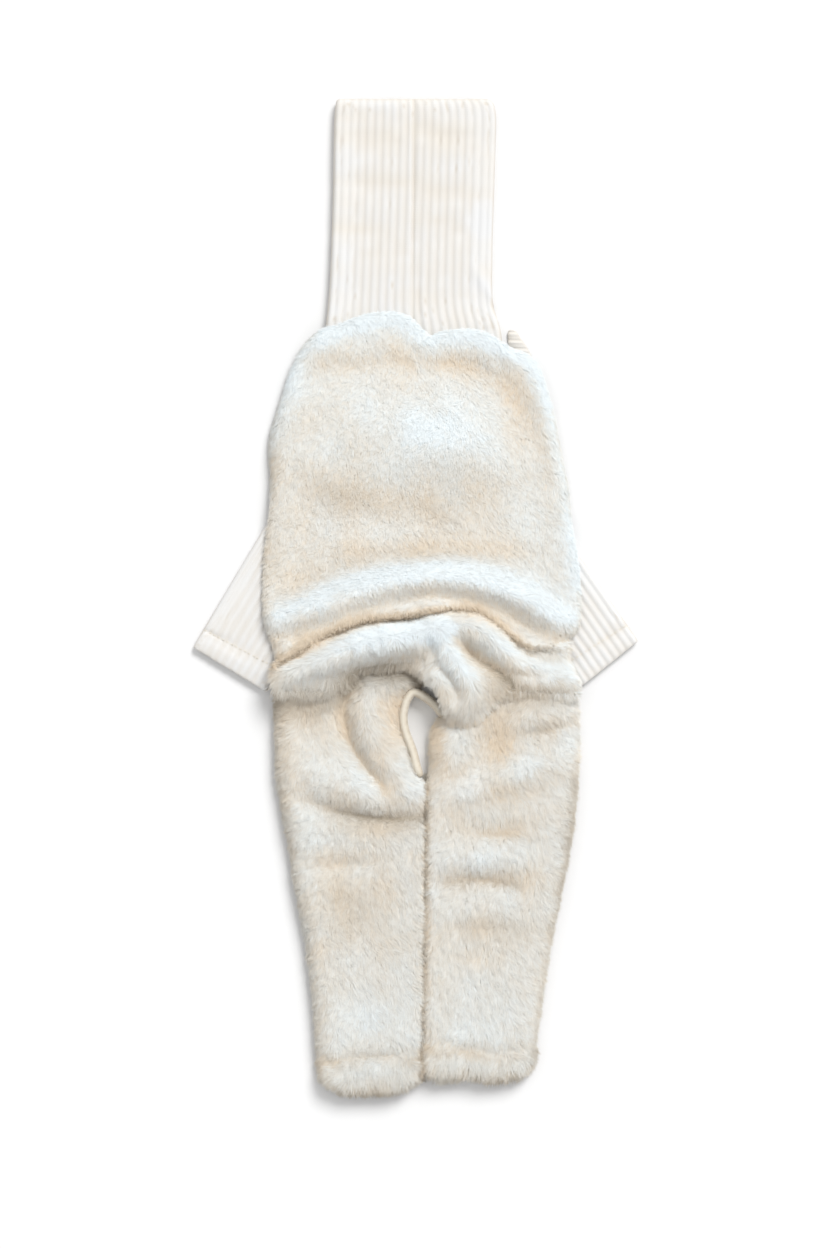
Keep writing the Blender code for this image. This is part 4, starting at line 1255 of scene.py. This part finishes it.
@dataclass
class PlushPiece(Piece):
    """A piece of plush: a backing just inside its solid, and the pile that grows out over it."""

    coat: Coat | None = None
    creases: tuple = ()
    slides: tuple = ()  # pairs of a patch, in millimetres, and the way that it is pushed in plan
    crisp: float = 0.3  # how much further its folds stand up or dip than the solid's
    sink: float = 1.0 * MM
    backing: float = 1.2 * MM
    levels: int = 2

    SINK_FROM, SINK_OVER = -0.2, 0.8  # how far up a normal points where it starts to sink, and the fade
    FOLD_OVER = 0.5  # how far up it points where a fold's whole height counts
    LEAST_HEIGHT = 1.5 * MM  # what a fold leaves under it

    def build_backing(self, material: bpy.types.Material) -> bpy.types.Object:
        """Makes the backing, still without its creases and its thickness.

        Args:
            material: The backing's finish.

        Returns:
            The backing.
        """
        bm = outer_skin(self.node, self.wall)
        for vertex in bm.verts:
            share = min(max((vertex.normal.z - self.SINK_FROM) / self.SINK_OVER, 0.0), 1.0)
            vertex.co -= vertex.normal * self.sink * share
        obj = object_of(bm, f"{self.node}_cloth", material)
        subdivide(obj, self.levels)
        return obj

    def fold(self, shell: bpy.types.Object, heights: HeightMap) -> None:
        """Sharpens the folds and adds the finer creases.

        Args:
            shell: The backing.
            heights: The plush's height map before this.
        """
        points, upward = vertices_of(shell.data), normals_of(shell.data)[:, 2]
        x, y = points[:, 0], points[:, 1]
        for patch, (way_x, way_y) in self.slides:
            by = MM * patch.at(x, y)
            points[:, 0] += way_x * by
            points[:, 1] += way_y * by
        rise = self.crisp * heights.stand_at(x, y) + total_at(self.creases, x, y)
        raised = points[:, 2] + rise * np.clip(upward / self.FOLD_OVER, 0, 1)
        points[:, 2] = np.maximum(raised, np.minimum(points[:, 2], self.LEAST_HEIGHT))
        shell.data.vertices.foreach_set("co", points.ravel())
        shell.data.update()

    def dress(self, shell: bpy.types.Object, heights: HeightMap, fibre: bpy.types.Material) -> None:
        """Grows the pile and puts both in place.

        Args:
            shell: The backing.
            heights: The plush's height map.
            fibre: The fibre's finish.
        """
        self.coat.tint(shell.data, heights)
        pile = self.coat.grow(f"{self.node}_pile", shell, heights, fibre)
        thicken(shell, self.backing)
        self.seat(shell, [pile])
        LOG.info("%s: %d faces", pile.name, len(pile.data.polygons))


def level(way_x: np.ndarray, way_y: np.ndarray | float) -> tuple[np.ndarray, np.ndarray]:
    """A way in plan brought to a length of 1."""
    size = np.hypot(way_x, way_y)
    return way_x / size, way_y / size


@dataclass(frozen=True)
class BodyNap:
    """The nap of the back and seat: down the garment, and a little outwards at the sides.

    It also sways to and fro, by a share over a length along and across, and ripples in how strongly it
    points down.
    """

    outwards: float = 0.35
    half_width: float = 0.09
    sway: float = 0.25
    sway_along: float = 0.03
    sway_across: float = 0.04
    sway_start: float = 1.3
    ripple: float = 0.2
    ripple_across: float = 0.025

    def flow(self, x: np.ndarray, y: np.ndarray) -> tuple[np.ndarray, np.ndarray]:
        """The way that the nap lies in plan.

        Args:
            x: The places across, in metres.
            y: The places along, in metres.

        Returns:
            The two parts of the ways.
        """
        sway = self.sway * np.sin(y / self.sway_along + self.sway_start) * np.cos(x / self.sway_across)
        way_x = self.outwards * x / self.half_width + sway
        return level(way_x, -1.0 + self.ripple * np.sin(x / self.ripple_across))


@dataclass(frozen=True)
class LegNap:
    """A leg's nap: down, outwards from its middle line, and swaying to and fro along it."""

    middle: float
    start: float = 0.0
    outwards: float = 0.45
    half_width: float = 0.035
    sway: float = 0.2
    sway_along: float = 0.02

    def flow(self, x: np.ndarray, y: np.ndarray) -> tuple[np.ndarray, np.ndarray]:
        """The way that the nap lies in plan.

        Args:
            x: The places across, in metres.
            y: The places along, in metres.

        Returns:
            The two parts of the ways.
        """
        sway = self.sway * np.sin(y / self.sway_along + self.start)
        return level((x - self.middle) / self.half_width * self.outwards + sway, -1.0)


# ---------------------------------------------------------------------------------------------------------
# Stage
# ---------------------------------------------------------------------------------------------------------


@dataclass
class Studio:
    """The pale floor, the soft light and the camera over the garment."""

    floor_size: float = 12.0
    floor_colour: tuple = (0.80, 0.80, 0.80, 1)
    key_place: tuple = (0.8, 1.3, 1.5)  # the way to the lamp
    key_spread: float = 26.0  # degrees of sky that the soft lamp fills
    key_strength: float = 2.5
    top_place: tuple = (0, 0, 2)
    top_spread: float = 140.0
    top_strength: float = 0.8
    fill_strength: float = 0.49
    fill_colour: tuple = (1.0, 1.0, 1.0, 1)
    lens: float = 85.0
    sensor: float = 36.0

    def build_floor(self) -> None:
        """Makes the floor."""
        bm = bmesh.new()
        bmesh.ops.create_grid(bm, x_segments=2, y_segments=2, size=self.floor_size / 2)
        material = bpy.data.materials.new("studio_floor")
        material.use_nodes = True
        shader = material.node_tree.nodes["Principled BSDF"]
        shader.inputs["Base Color"].default_value = self.floor_colour
        shader.inputs["Roughness"].default_value = 1.0
        shader.inputs["Specular IOR Level"].default_value = 0.0
        object_of(bm, "floor", material)

    @staticmethod
    def build_lamp(name: str, place: tuple, spread: float, strength: float) -> None:
        """Hangs one far and even lamp.

        Args:
            name: The lamp's name.
            place: The way to it.
            spread: The degrees of sky that it fills.
            strength: Its strength.
        """
        lamp = bpy.data.lights.new(name, "SUN")
        lamp.energy = strength
        lamp.angle = math.radians(spread)
        obj = bpy.data.objects.new(name, lamp)
        obj.location = place
        obj.rotation_euler = (-Vector(place)).to_track_quat("-Z", "Y").to_euler()
        bpy.context.scene.collection.objects.link(obj)

    def build_light(self) -> None:
        """Lights the floor by a lamp up and to the right, a broad soft one overhead and an even room.

        The camera sees the room as white, so that the floor seems to run on.
        """
        self.build_lamp("key", self.key_place, self.key_spread, self.key_strength)
        self.build_lamp("top", self.top_place, self.top_spread, self.top_strength)
        world = bpy.data.worlds.new("room")
        world.use_nodes = True
        tree = world.node_tree
        fill = tree.nodes["Background"]
        fill.inputs["Color"].default_value = self.fill_colour
        fill.inputs["Strength"].default_value = self.fill_strength
        backdrop = tree.nodes.new("ShaderNodeBackground")
        seen = tree.nodes.new("ShaderNodeLightPath").outputs["Is Camera Ray"]
        either = tree.nodes.new("ShaderNodeMixShader")
        for start, end in ((seen, either.inputs[0]), (fill.outputs[0], either.inputs[1]),
                           (backdrop.outputs[0], either.inputs[2]),
                           (either.outputs[0], tree.nodes["World Output"].inputs["Surface"])):
            tree.links.new(start, end)
        backdrop.inputs["Color"].default_value = self.fill_colour
        bpy.context.scene.world = world
        bpy.context.scene.view_settings.view_transform = "Standard"

    def build_camera(self) -> None:
        """Puts the camera straight over the middle of the photograph."""
        camera = bpy.data.cameras.new("camera")
        camera.lens = self.lens
        camera.sensor_width = self.sensor
        obj = bpy.data.objects.new("camera", camera)
        x = (PHOTO_WIDTH / 2 - ORIGIN_PIXEL[0]) * PIXEL
        y = (ORIGIN_PIXEL[1] - PHOTO_HEIGHT / 2) * PIXEL
        obj.location = (x, y, PHOTO_HEIGHT * PIXEL * self.lens / self.sensor)
        bpy.context.scene.collection.objects.link(obj)
        bpy.context.scene.camera = obj

    def build(self) -> None:
        """Makes the whole stage."""
        self.build_floor()
        self.build_light()
        self.build_camera()


# Painted highlight (whiter), painted shade (warmer or darker), some plain tone, and where the pile is longer
# painted warm shade along the crease between the back and the seat
WAIST_CREASE_SHADE = Band(5, ((-92, -43, 0.5), (-69, -30, 0.8), (-57, -24, 0.9), (-43, -17, 0.9), (-27, -12.5, 0.8),
                      (-8, -10, 0.6), (11, -6.5, 0.6), (27, -6, 0.7), (38, -8, 0.8), (48, -14, 0.8),
                      (59, -23, 0.7), (70, -29, 0.4), (97, -30, 0.1)))
# painted highlight along the crests of the second roll and the lobe
SECOND_CREST_HIGHLIGHT = Band(7, ((-84, -42, 0.05), (-60, -32, 0), (-35, -24, -0.2), (-16, -20, -0.35), (3, -17, -0.5),
                        (17, -18, -0.3), (34, -18, 0), (50, -26, 0), (70, -36, -0.05), (94, -40, -0.15)))
LOBE_CREST_HIGHLIGHT = Band(6, ((10, -20, -0.35), (16, -29, -0.2), (24, -42, -0.15), (29, -54, -0.1), (30, -66, 0)))
# painted highlight on the rims, the roll's crest and the bulge, painted warm shade in troughs and the waist
# crease
BACK_HIGHLIGHT_AND_SHADE = (
    Band(7, ((-89, 95, -0.3), (-84, 130, -0.55), (-71, 152, -0.6), (-56, 163, -0.6), (-42, 169, -0.65),
             (-29, 174, -0.6), (-15, 173, -0.6), (-4, 167, -0.5), (6, 160, -0.3), (19, 163, -0.45),
             (35, 162, -0.5), (52, 158, -0.5), (66, 151, -0.5), (77, 140, -0.5), (84, 122, -0.45),
             (90, 100, -0.4), (95, 75, -0.45), (99, 50, -0.5), (101, 10, -0.4))),
    Band(14, ((52, 84, -0.1), (70, 60, -0.15), (82, 40, -0.2), (88, 10, -0.2))),
    Band(6.5, ((-92, -15, -0.3), (-83, -11, -0.4), (-67, -1, -0.4), (-46, 10, -0.45), (-19, 16, -0.5),
               (8, 19, -0.5), (30, 17, -0.5), (51, 12, -0.45), (68, 3, -0.4), (84, -8, -0.4),
               (96, -14, -0.3))),
    Patch(-76, 127, 8, 12, -0.25),
    Patch(55, 108, 9, 16, 0.2),
    Patch(-6, 142, 9, 14, 0.2),
    Patch(17, 146, 9, 7, 0.2),
    Patch(32, 139, 14, 8, 0.15),
    Patch(49, 130, 14, 10, 0.15),
    Patch(64, 103, 9, 16, 0.25),
    Patch(68, 75, 9, 16, 0.15),
    Patch(6, 98, 32, 20, -0.45),
    Patch(-50, 100, 20, 20, -0.1),
    Patch(-43, 56, 26, 11, 0.2),
    Patch(14, 53, 28, 9, 0.2),
    Patch(10, 31, 50, 8, 0.4),
    Patch(-70, 14, 16, 12, 0.2),
    Patch(-60, -26, 25, 5, 0.2),
    WAIST_CREASE_SHADE,
)
# painted shade in the troughs, the waist crease and along the left edge
BACK_SHADE = (
    Band(10, ((-66, 68, 0.1), (-48, 62, 0.32), (-20, 57, 0.2), (8, 54, 0.26), (20, 53, 0.24),
              (42, 60, 0.05))),
    Band(7, ((-80, 2, 0.08), (-45, 20, 0.1), (8, 29, 0.12), (50, 21, 0.1), (80, 2, 0.04))),
    Patch(-60, 40, 30, 40, 0.08),
    Band(6, ((-85, 110, 0.12), (-86, 20, 0.12))),
    Patch(5, 30, 60, 8, 0.08),
    Band(3, ((-92, -40, 0.2), (-69, -27, 0.25), (-43, -14, 0.2), (-27, -9.5, 0.12), (-8, -7, 0.05),
             (40, -5, 0.05))),
)
# painted highlight on the crests, painted warm shade in the creases and hollows
SEAT_HIGHLIGHT_AND_SHADE = (
    SECOND_CREST_HIGHLIGHT,
    LOBE_CREST_HIGHLIGHT,
    WAIST_CREASE_SHADE,
    Band(4, ((22, -25, 0.4), (33, -34, 0.7), (44, -41, 0.7), (51, -45, 0.6), (57, -51, 0.3))),
    Patch(45, -48, 10, 9, 0.4),
    Patch(74, -54, 18, 6, 0.3),
    Patch(30, -71, 14, 4, 0.3),
)
# painted shade in the creases and in the hollows under the rolls
SEAT_SHADE = (
    Band(2.8, ((22, -25, 0.15), (33, -34, 0.45), (44, -41, 0.65), (51, -45.5, 0.9), (58, -49.5, 1))),
    Patch(55.5, -48.5, 7, 4.5, 0.5),
    Patch(43, -54, 12, 8, 0.2),
    Patch(25, -67, 14, 7, 0.2),
    Band(2, ((-92, -43, 0.05), (-57, -24, 0.15), (-27, -12.5, 0.15), (11, -6.5, 0.15), (38, -8, 0.3),
             (48, -14, 0.45), (57, -22, 0.3), (75, -30, 0.05))),
    Band(5, ((-90, -58, 0.7), (-60, -56, 0.6), (-36, -45, 0.7), (-18, -41, 0.8), (0, -43, 0.7))),
    Patch(74, -56, 20, 6, 0.4),
)
SEAT_LONG = (
    Band(7, ((-92, -52, 0.7), (-55, -50, 0.7), (-35, -41, 0.5), (-15, -37, 0.4))),
    Patch(32, -68, 12, 9, 0.5),
)
# painted warm shade in the left leg's creases and hollows, cooler painted highlight where it is lit
LEFT_HIGHLIGHT_AND_SHADE = (
    Patch(-27, -62, 10, 14, 0.15),
    Band(5, ((-38, -44, 0.3), (-44, -62, 0.4), (-45, -74, 0.4), (-41, -87, 0.4), (-32, -102, 0.35),
             (-20, -117, 0.3))),
    Patch(-64, -72, 18, 16, 0.3),
    Patch(-16, -76, 9, 20, 0.5),
    Patch(-30, -139, 30, 6, 0.5),
    Patch(-42, -184, 22, 22, 0.2),
    Patch(-58, -172, 16, 6, 0.15),
    Patch(-26, -258, 26, 26, -0.3),
    Patch(-70, -200, 8, 60, -0.25),
    Patch(-56, -142, 18, 8, -0.2),
    Band(3, ((-59, -284, 0.15), (-39, -283, 0.25), (-23, -281, 0.25), (1, -282.5, 0.2))),
    Band(3, ((6.8, -112, 0.3), (6, -180, 0.2), (4.6, -255, 0.2), (3.6, -300, 0.3))),
)
# a darker tone over both legs, and painted shade along the hems' lower edges
LEG_TONE_AND_SHADE = (
    Patch(5, -190, 140, 150, 0.14),
    Patch(5, -298, 140, 18, 0.15),
)
# painted shade in the left leg's creases, under the roll and along its outer edge and hem
LEFT_SHADE = (
    Band(3.4, ((-66, -122, 0.15), (-53, -129, 0.4), (-34, -133, 0.7), (-13, -134.5, 0.75), (6, -133, 0.5))),
    Band(2.6, ((-42, -77, 0.03), (-27, -104.5, 0.08), (-19, -115, 0.03))),
    *LEG_TONE_AND_SHADE,
    Patch(-30, -141, 34, 6, 0.15),
    Band(3, ((-62, -284, 0.12), (-39, -283, 0.18), (-23, -281, 0.18), (3, -282.5, 0.15))),
    Band(8, ((-36, -46, 0.5), (-20, -45, 0.8), (-6, -46, 0.8), (6, -52, 0.6))),
    Band(9, ((-88, -64, 0.6), (-62, -64, 0.5), (-46, -56, 0.5))),
    Patch(-42, -186, 18, 20, 0.15),
    Band(6, ((-70, -308, 0.8), (8, -306, 0.8))),
    Band(6, ((-88, -70, 0.25), (-84, -110, 0.25), (-80, -160, 0.4), (-70, -230, 0.4), (-63, -300, 0.3))),
)
LEG_LONG = (Patch(5, -292, 120, 10, 0.5),)
# painted warm shade in the right leg's creases, cooler painted highlight where it is lit
RIGHT_HIGHLIGHT_AND_SHADE = (
    Patch(17, -84, 6, 18, 0.4),
    Patch(50, -84, 12, 20, 0.35),
    Patch(74, -64, 20, 8, 0.25),
    Patch(54, -143, 18, 4, 0.3),
    Patch(48, -171, 26, 5, 0.25),
    Patch(40, -203, 24, 6, 0.2),
    Patch(30, -219, 16, 5, 0.2),
    Patch(40, -160, 26, 5, -0.25),
    Patch(40, -258, 26, 26, -0.25),
    Band(3, ((9, -275, 0.2), (28, -277.5, 0.3), (47, -281, 0.3), (68, -279.5, 0.2))),
    Band(3, ((7.2, -112, 0.3), (6.4, -180, 0.2), (5.2, -255, 0.2), (4.2, -300, 0.3))),
)
# painted shade in the right leg's creases, under the seat and along its outer edge and hem
RIGHT_SHADE = (
    Band(2.6, ((16, -173, 0.2), (26, -173, 0.45), (40, -172.5, 0.3), (52, -174, 0.4), (66, -176, 0.15))),
    *LEG_TONE_AND_SHADE,
    Patch(48, -199, 24, 6, 0.2),
    Patch(55, -144, 18, 4, 0.15),
    Band(3, ((6, -276, 0.15), (28, -277.5, 0.18), (47, -281, 0.18), (72, -279.5, 0.15))),
    Band(6, ((4, -301, 0.8), (40, -299, 0.8), (75, -298, 0.8))),
    Band(5.5, ((98, -110, 0.4), (93, -160, 0.5), (84, -230, 0.55), (74, -290, 0.5))),
    Patch(78, -80, 18, 4, 0.25),
    Patch(74, -60, 24, 6, 0.35),
    Patch(44, -78, 12, 7, 0.1),
)

# The backing rises in the valley between the back and the seat, where the pile fills it
WAIST_FILL = Crease(7, ((-90, -42, 2), (-69, -30, 4), (-57, -24, 6), (-43, -17, 7), (-27, -12, 8),
                        (-8, -9, 9), (11, -6.5, 9), (27, -6, 8), (38, -8, 7), (48, -14, 7), (59, -23, 6),
                        (70, -29, 5), (95, -30, 2)))
WAIST_FUR = Seam(0.3, ((-88, -42), (-69, -30), (-57, -24), (-43, -17.2), (-27, -12.7), (-8, -10.2),
                       (2, -8), (11, -6.8), (19, -6), (27, -6.1), (38, -8.5), (48, -14.4), (59, -23.6),
                       (70, -29), (93, -30)))
LEFT_TUCK_FUR = Seam(1.1, ((-84, -54.5), (-65, -56), (-55, -55.5), (-45, -51.5), (-35, -46), (-25, -40.5),
                           (-15, -39.8), (-5, -42)))
RIGHT_TUCK_FUR = Seam(1.1, ((47, -64), (55, -57.3), (65, -56.2), (75, -56.6), (85, -57.7), (96, -59)))
LEG_FUR = Seam(0.3, ((6.9, -108), (6.5, -150), (5.8, -195), (4.7, -260), (3.9, -297)))
BINDING_FUR = Seam(0.8, ((-3, -56), (-7.5, -62), (-11.2, -76), (-5.2, -90), (-1.6, -105)))
SEAT_CREASES = (
    WAIST_FILL,
    Crease(4, ((22, -25, 0), (33, -34, -1.5), (44, -41, -2.5), (51, -45, -3.5), (58, -49.5, -3))),
    Crease(5, ((-90, -54, -3), (-53, -53, -3), (-35, -43, -2), (-22, -39, 0))),
    Crease(5, ((48, -64, -1), (65, -56, -3), (100, -58, -3))),
    Crease(6, ((-84, -50, 2), (-60, -41, 3), (-35, -32, 3.5), (-16, -29, 3.5), (0, -29, 3))),
    Crease(5.5, ((5, -29, 2), (12, -38, 5), (16, -50, 5), (21, -62, 4), (26, -68, 1))),
)
SEAT_SLIDES = ((Patch(6, -60, 12, 13, 7), (1, 0)),)
LEFT_SLIDES = ((Patch(-28, -318, 200, 26, 6), (0, 1)),)
RIGHT_SLIDES = ((Patch(40, -310, 200, 26, 6), (0, 1)),)
LEFT_CREASES = (
    Crease(5, ((-36, -42, -1.5), (-43, -57, -2), (-44.5, -70, -2.2), (-42, -84, -2), (-36, -98, -2),
               (-22, -117, -1.5), (-14, -126, -0.5))),
    Crease(6.5, ((-27, -48, 1), (-34, -68, 2.2), (-31, -86, 2.2), (-21, -103, 1.6), (-10, -118, 0.6))),
    Crease(5, ((-60, -124, -0.4), (-38, -131, -1.5), (-16, -134, -2), (2, -132, -1.6))),
    Crease(5, ((-64, -166, -0.6), (-36, -162, -1), (-8, -157, -0.4))),
    Crease(5, ((-40, -46, -2), (-25, -44, -4), (-8, -45, -4), (6, -52, -3))),
    Crease(4, ((4, -112, 1), (3.2, -150, 3), (2, -255, 3), (1, -285, 1.5))),
)
RIGHT_CREASES = (
    Crease(5, ((30, -144, -0.3), (47, -145.5, -1), (66, -143, -0.3))),
    Crease(4.5, ((15, -173, -0.6), (30, -171, -1.6), (46, -172, -1.6), (64, -177, -0.4))),
    Crease(5, ((27, -201, -0.8), (48, -200, -0.5))),
    Crease(5, ((24, -219, -0.6), (42, -218, -0.4))),
    Crease(5, ((68, -80.5, -0.6), (84, -79, -1.2), (97, -77, -1))),
    Crease(4, ((10, -112, 1), (9.2, -150, 3), (8, -255, 3), (7, -285, 1.5))),
)

NECK_CREASES = (
    Crease(0.8, ((-1.2, 309, -0.5), (-1.5, 155, -0.5))),
    Crease(1.0, ((-3.2, 309, 0.25), (-3.5, 155, 0.25))),
    Crease(3.0, ((-50, 297, -0.5), (-20, 300, -0.3))),
    Crease(3.5, ((-48, 286, -0.5), (-12, 285, -0.7))),
    Crease(4.0, ((4, 290, -0.4), (20, 286, -0.8), (48, 283, -0.5))),
    Crease(3.0, ((-50, 258, -0.5), (-20, 256, -0.7), (0, 258, -0.3))),
    Crease(3.0, ((5, 253, -0.4), (30, 251, -0.7), (48, 247, -0.4))),
    Crease(3.0, ((-50, 229, -0.6), (-22, 230, -0.4))),
    Crease(3.0, ((-40, 212, -0.3), (-5, 215, -0.5))),
    Crease(2.5, ((8, 236, -0.3), (22, 231, -0.6), (30, 227, -0.3))),
    Crease(3.0, ((36, 204, 0.7), (46, 188, 0.9))),
    Crease(1.3, ((47.5, 183, -2.5), (48.2, 180, -2.5))),
)
# Painted warm shade in the neck's creases, and cooler painted highlight where it is lit
NECK_HIGHLIGHT_AND_SHADE = (
    Patch(20, 287, 22, 9, 0.45),
    Patch(-28, 286, 22, 5, 0.3),
    Patch(-20, 257, 24, 6, 0.35),
    Patch(25, 251, 26, 5, 0.3),
    Patch(-34, 229, 20, 5, 0.3),
    Patch(-28, 189, 32, 20, -0.35),
    Patch(40, 231, 9, 18, -0.35),
    Patch(-15, 301, 6, 9, -0.3),
)
LEFT_HEM = (
    Crease(1.0, ((-132.5, -17.8, -0.7), (-86, -42.5, -0.7))),
    Crease(4.0, ((-134, -24, 0.4), (-89, -49.5, 0.4))),
)
RIGHT_HEM = (
    Crease(1.0, ((132, -15.2, -0.7), (86, -44.3, -0.7))),
    Crease(4.0, ((134.5, -20.5, 0.4), (92, -50.5, 0.4))),
)
SLEEVE_COOL = (Band(60, ((-130, 0, -0.2), (130, 0, -0.2))),)
SHOULDER_RIBS = tuple(Crease(1.0, ((50, top, -0.7), (90, top - 2, -0.7))) for top in range(166, 106, -5))

KNIT_PIECES = (
    KnitPiece("neck_tube", Wall.TUBE, Slot.RIB, (0.21, 0.158), ("floor",), creases=NECK_CREASES,
              painted_light_and_tone_patches=NECK_HIGHLIGHT_AND_SHADE),
    KnitPiece("sleeve_left", Wall.TUBE, Slot.RIB, (0.11, 0.114), ("floor",), 0.0073, creases=LEFT_HEM,
              painted_light_and_tone_patches=SLEEVE_COOL, stitches=(((-131, -18.6), (-88, -41.4)),)),
    KnitPiece("sleeve_right", Wall.TUBE, Slot.RIB, (0.1, 0.092), ("floor",), 0.0056, creases=RIGHT_HEM,
              painted_light_and_tone_patches=SLEEVE_COOL, stitches=(((130.5, -16.1), (88, -43)),)),
    KnitPiece("shoulder_left", Wall.SHEET, Slot.RIB, (0.021, 0.051), ("floor",), 0.0007),
    KnitPiece("shoulder_right", Wall.SHEET, Slot.RIB, (0.027, 0.0565), ("floor",), 0.001,
              creases=SHOULDER_RIBS, levels=3),
    KnitPiece("front_panel", Wall.SHEET, Slot.RIB, (0.166, 0.185), ("floor",), levels=1),
)
BINDING = KnitPiece("crotch_binding", Wall.TUBE, Slot.TAPE, (0.0125, 0.078), ("floor",), levels=1,
                    plump=0.8 * MM)

BODY_NAP = BodyNap()
LEG_PILE = {"count": 185000, "length": 5.2 * MM, "width": 0.42 * MM, "lean": 1.38, "loft": 1.6 * MM}
PLUSH_PIECES = (
    PlushPiece("back_panel", Wall.SHEET, Slot.PLUSH, (0.196, 0.232), ("front_panel_cloth",), 0.0365,
               creases=(WAIST_FILL,), crisp=0.0,
               coat=Coat(Pile(190000, 3.2 * MM, 0.45 * MM, pull=0.3, seed=11), BODY_NAP.flow,
                         painted_light_and_tone_patches=BACK_HIGHLIGHT_AND_SHADE, painted_shade_and_tone_patches=BACK_SHADE)),
    PlushPiece("seat_panel", Wall.SHEET, Slot.PLUSH, (0.19, 0.075), ("leg_left_cloth", "leg_right_cloth"),
               0.0095, creases=SEAT_CREASES, slides=SEAT_SLIDES, crisp=0.0,
               coat=Coat(Pile(115000, 5.8 * MM, 0.42 * MM, 1.36, 1.8 * MM, seed=12), BODY_NAP.flow,
                         painted_light_and_tone_patches=SEAT_HIGHLIGHT_AND_SHADE, painted_shade_and_tone_patches=SEAT_SHADE, long_patches=SEAT_LONG,
                         seams=(WAIST_FUR, LEFT_TUCK_FUR, RIGHT_TUCK_FUR))),
    PlushPiece("leg_left", Wall.TUBE, Slot.PLUSH, (0.185, 0.275), ("floor",), 0.0425, creases=LEFT_CREASES,
               slides=LEFT_SLIDES, crisp=0.35,
               coat=Coat(Pile(**LEG_PILE, seed=13), LegNap(-0.038).flow, painted_light_and_tone_patches=LEFT_HIGHLIGHT_AND_SHADE,
                         painted_shade_and_tone_patches=LEFT_SHADE, long_patches=LEG_LONG, seams=(LEG_FUR, BINDING_FUR))),
    PlushPiece("leg_right", Wall.TUBE, Slot.PLUSH, (0.187, 0.267), ("floor",), 0.0425,
               creases=RIGHT_CREASES, slides=RIGHT_SLIDES, crisp=0.35,
               coat=Coat(Pile(**LEG_PILE, seed=14), LegNap(0.042, 1.0).flow, painted_light_and_tone_patches=RIGHT_HIGHLIGHT_AND_SHADE,
                         painted_shade_and_tone_patches=RIGHT_SHADE, long_patches=LEG_LONG)),
)
FOLD_CELL, FOLD_AROUND = 1.5 * MM, 9 * MM  # how finely the plush's folds are read, and how far around


def main() -> None:
    """Builds every piece in order."""
    logging.basicConfig(level=logging.INFO, format="%(name)s: %(message)s")
    Studio().build()
    groups = {"knit": knit_group(), "drift": drift_group()}
    rib, tape = RIB_FINISH.build(groups), TAPE_FINISH.build(groups)
    underfur, fibre = UNDERFUR_FINISH.build(), FIBRE_FINISH.build()
    for piece in KNIT_PIECES:
        piece.build(rib, tape)
    BINDING.build(tape, tape)
    shells = [piece.build_backing(underfur) for piece in PLUSH_PIECES]
    meshes = [shell.data for shell in shells]
    heights = HeightMap(meshes, FOLD_CELL, FOLD_AROUND)
    for piece, shell in zip(PLUSH_PIECES, shells):
        piece.fold(shell, heights)
    heights = HeightMap(meshes, FOLD_CELL, FOLD_AROUND)
    for piece, shell in zip(PLUSH_PIECES, shells):
        piece.dress(shell, heights, fibre)


if __name__ == "__main__":
    main()
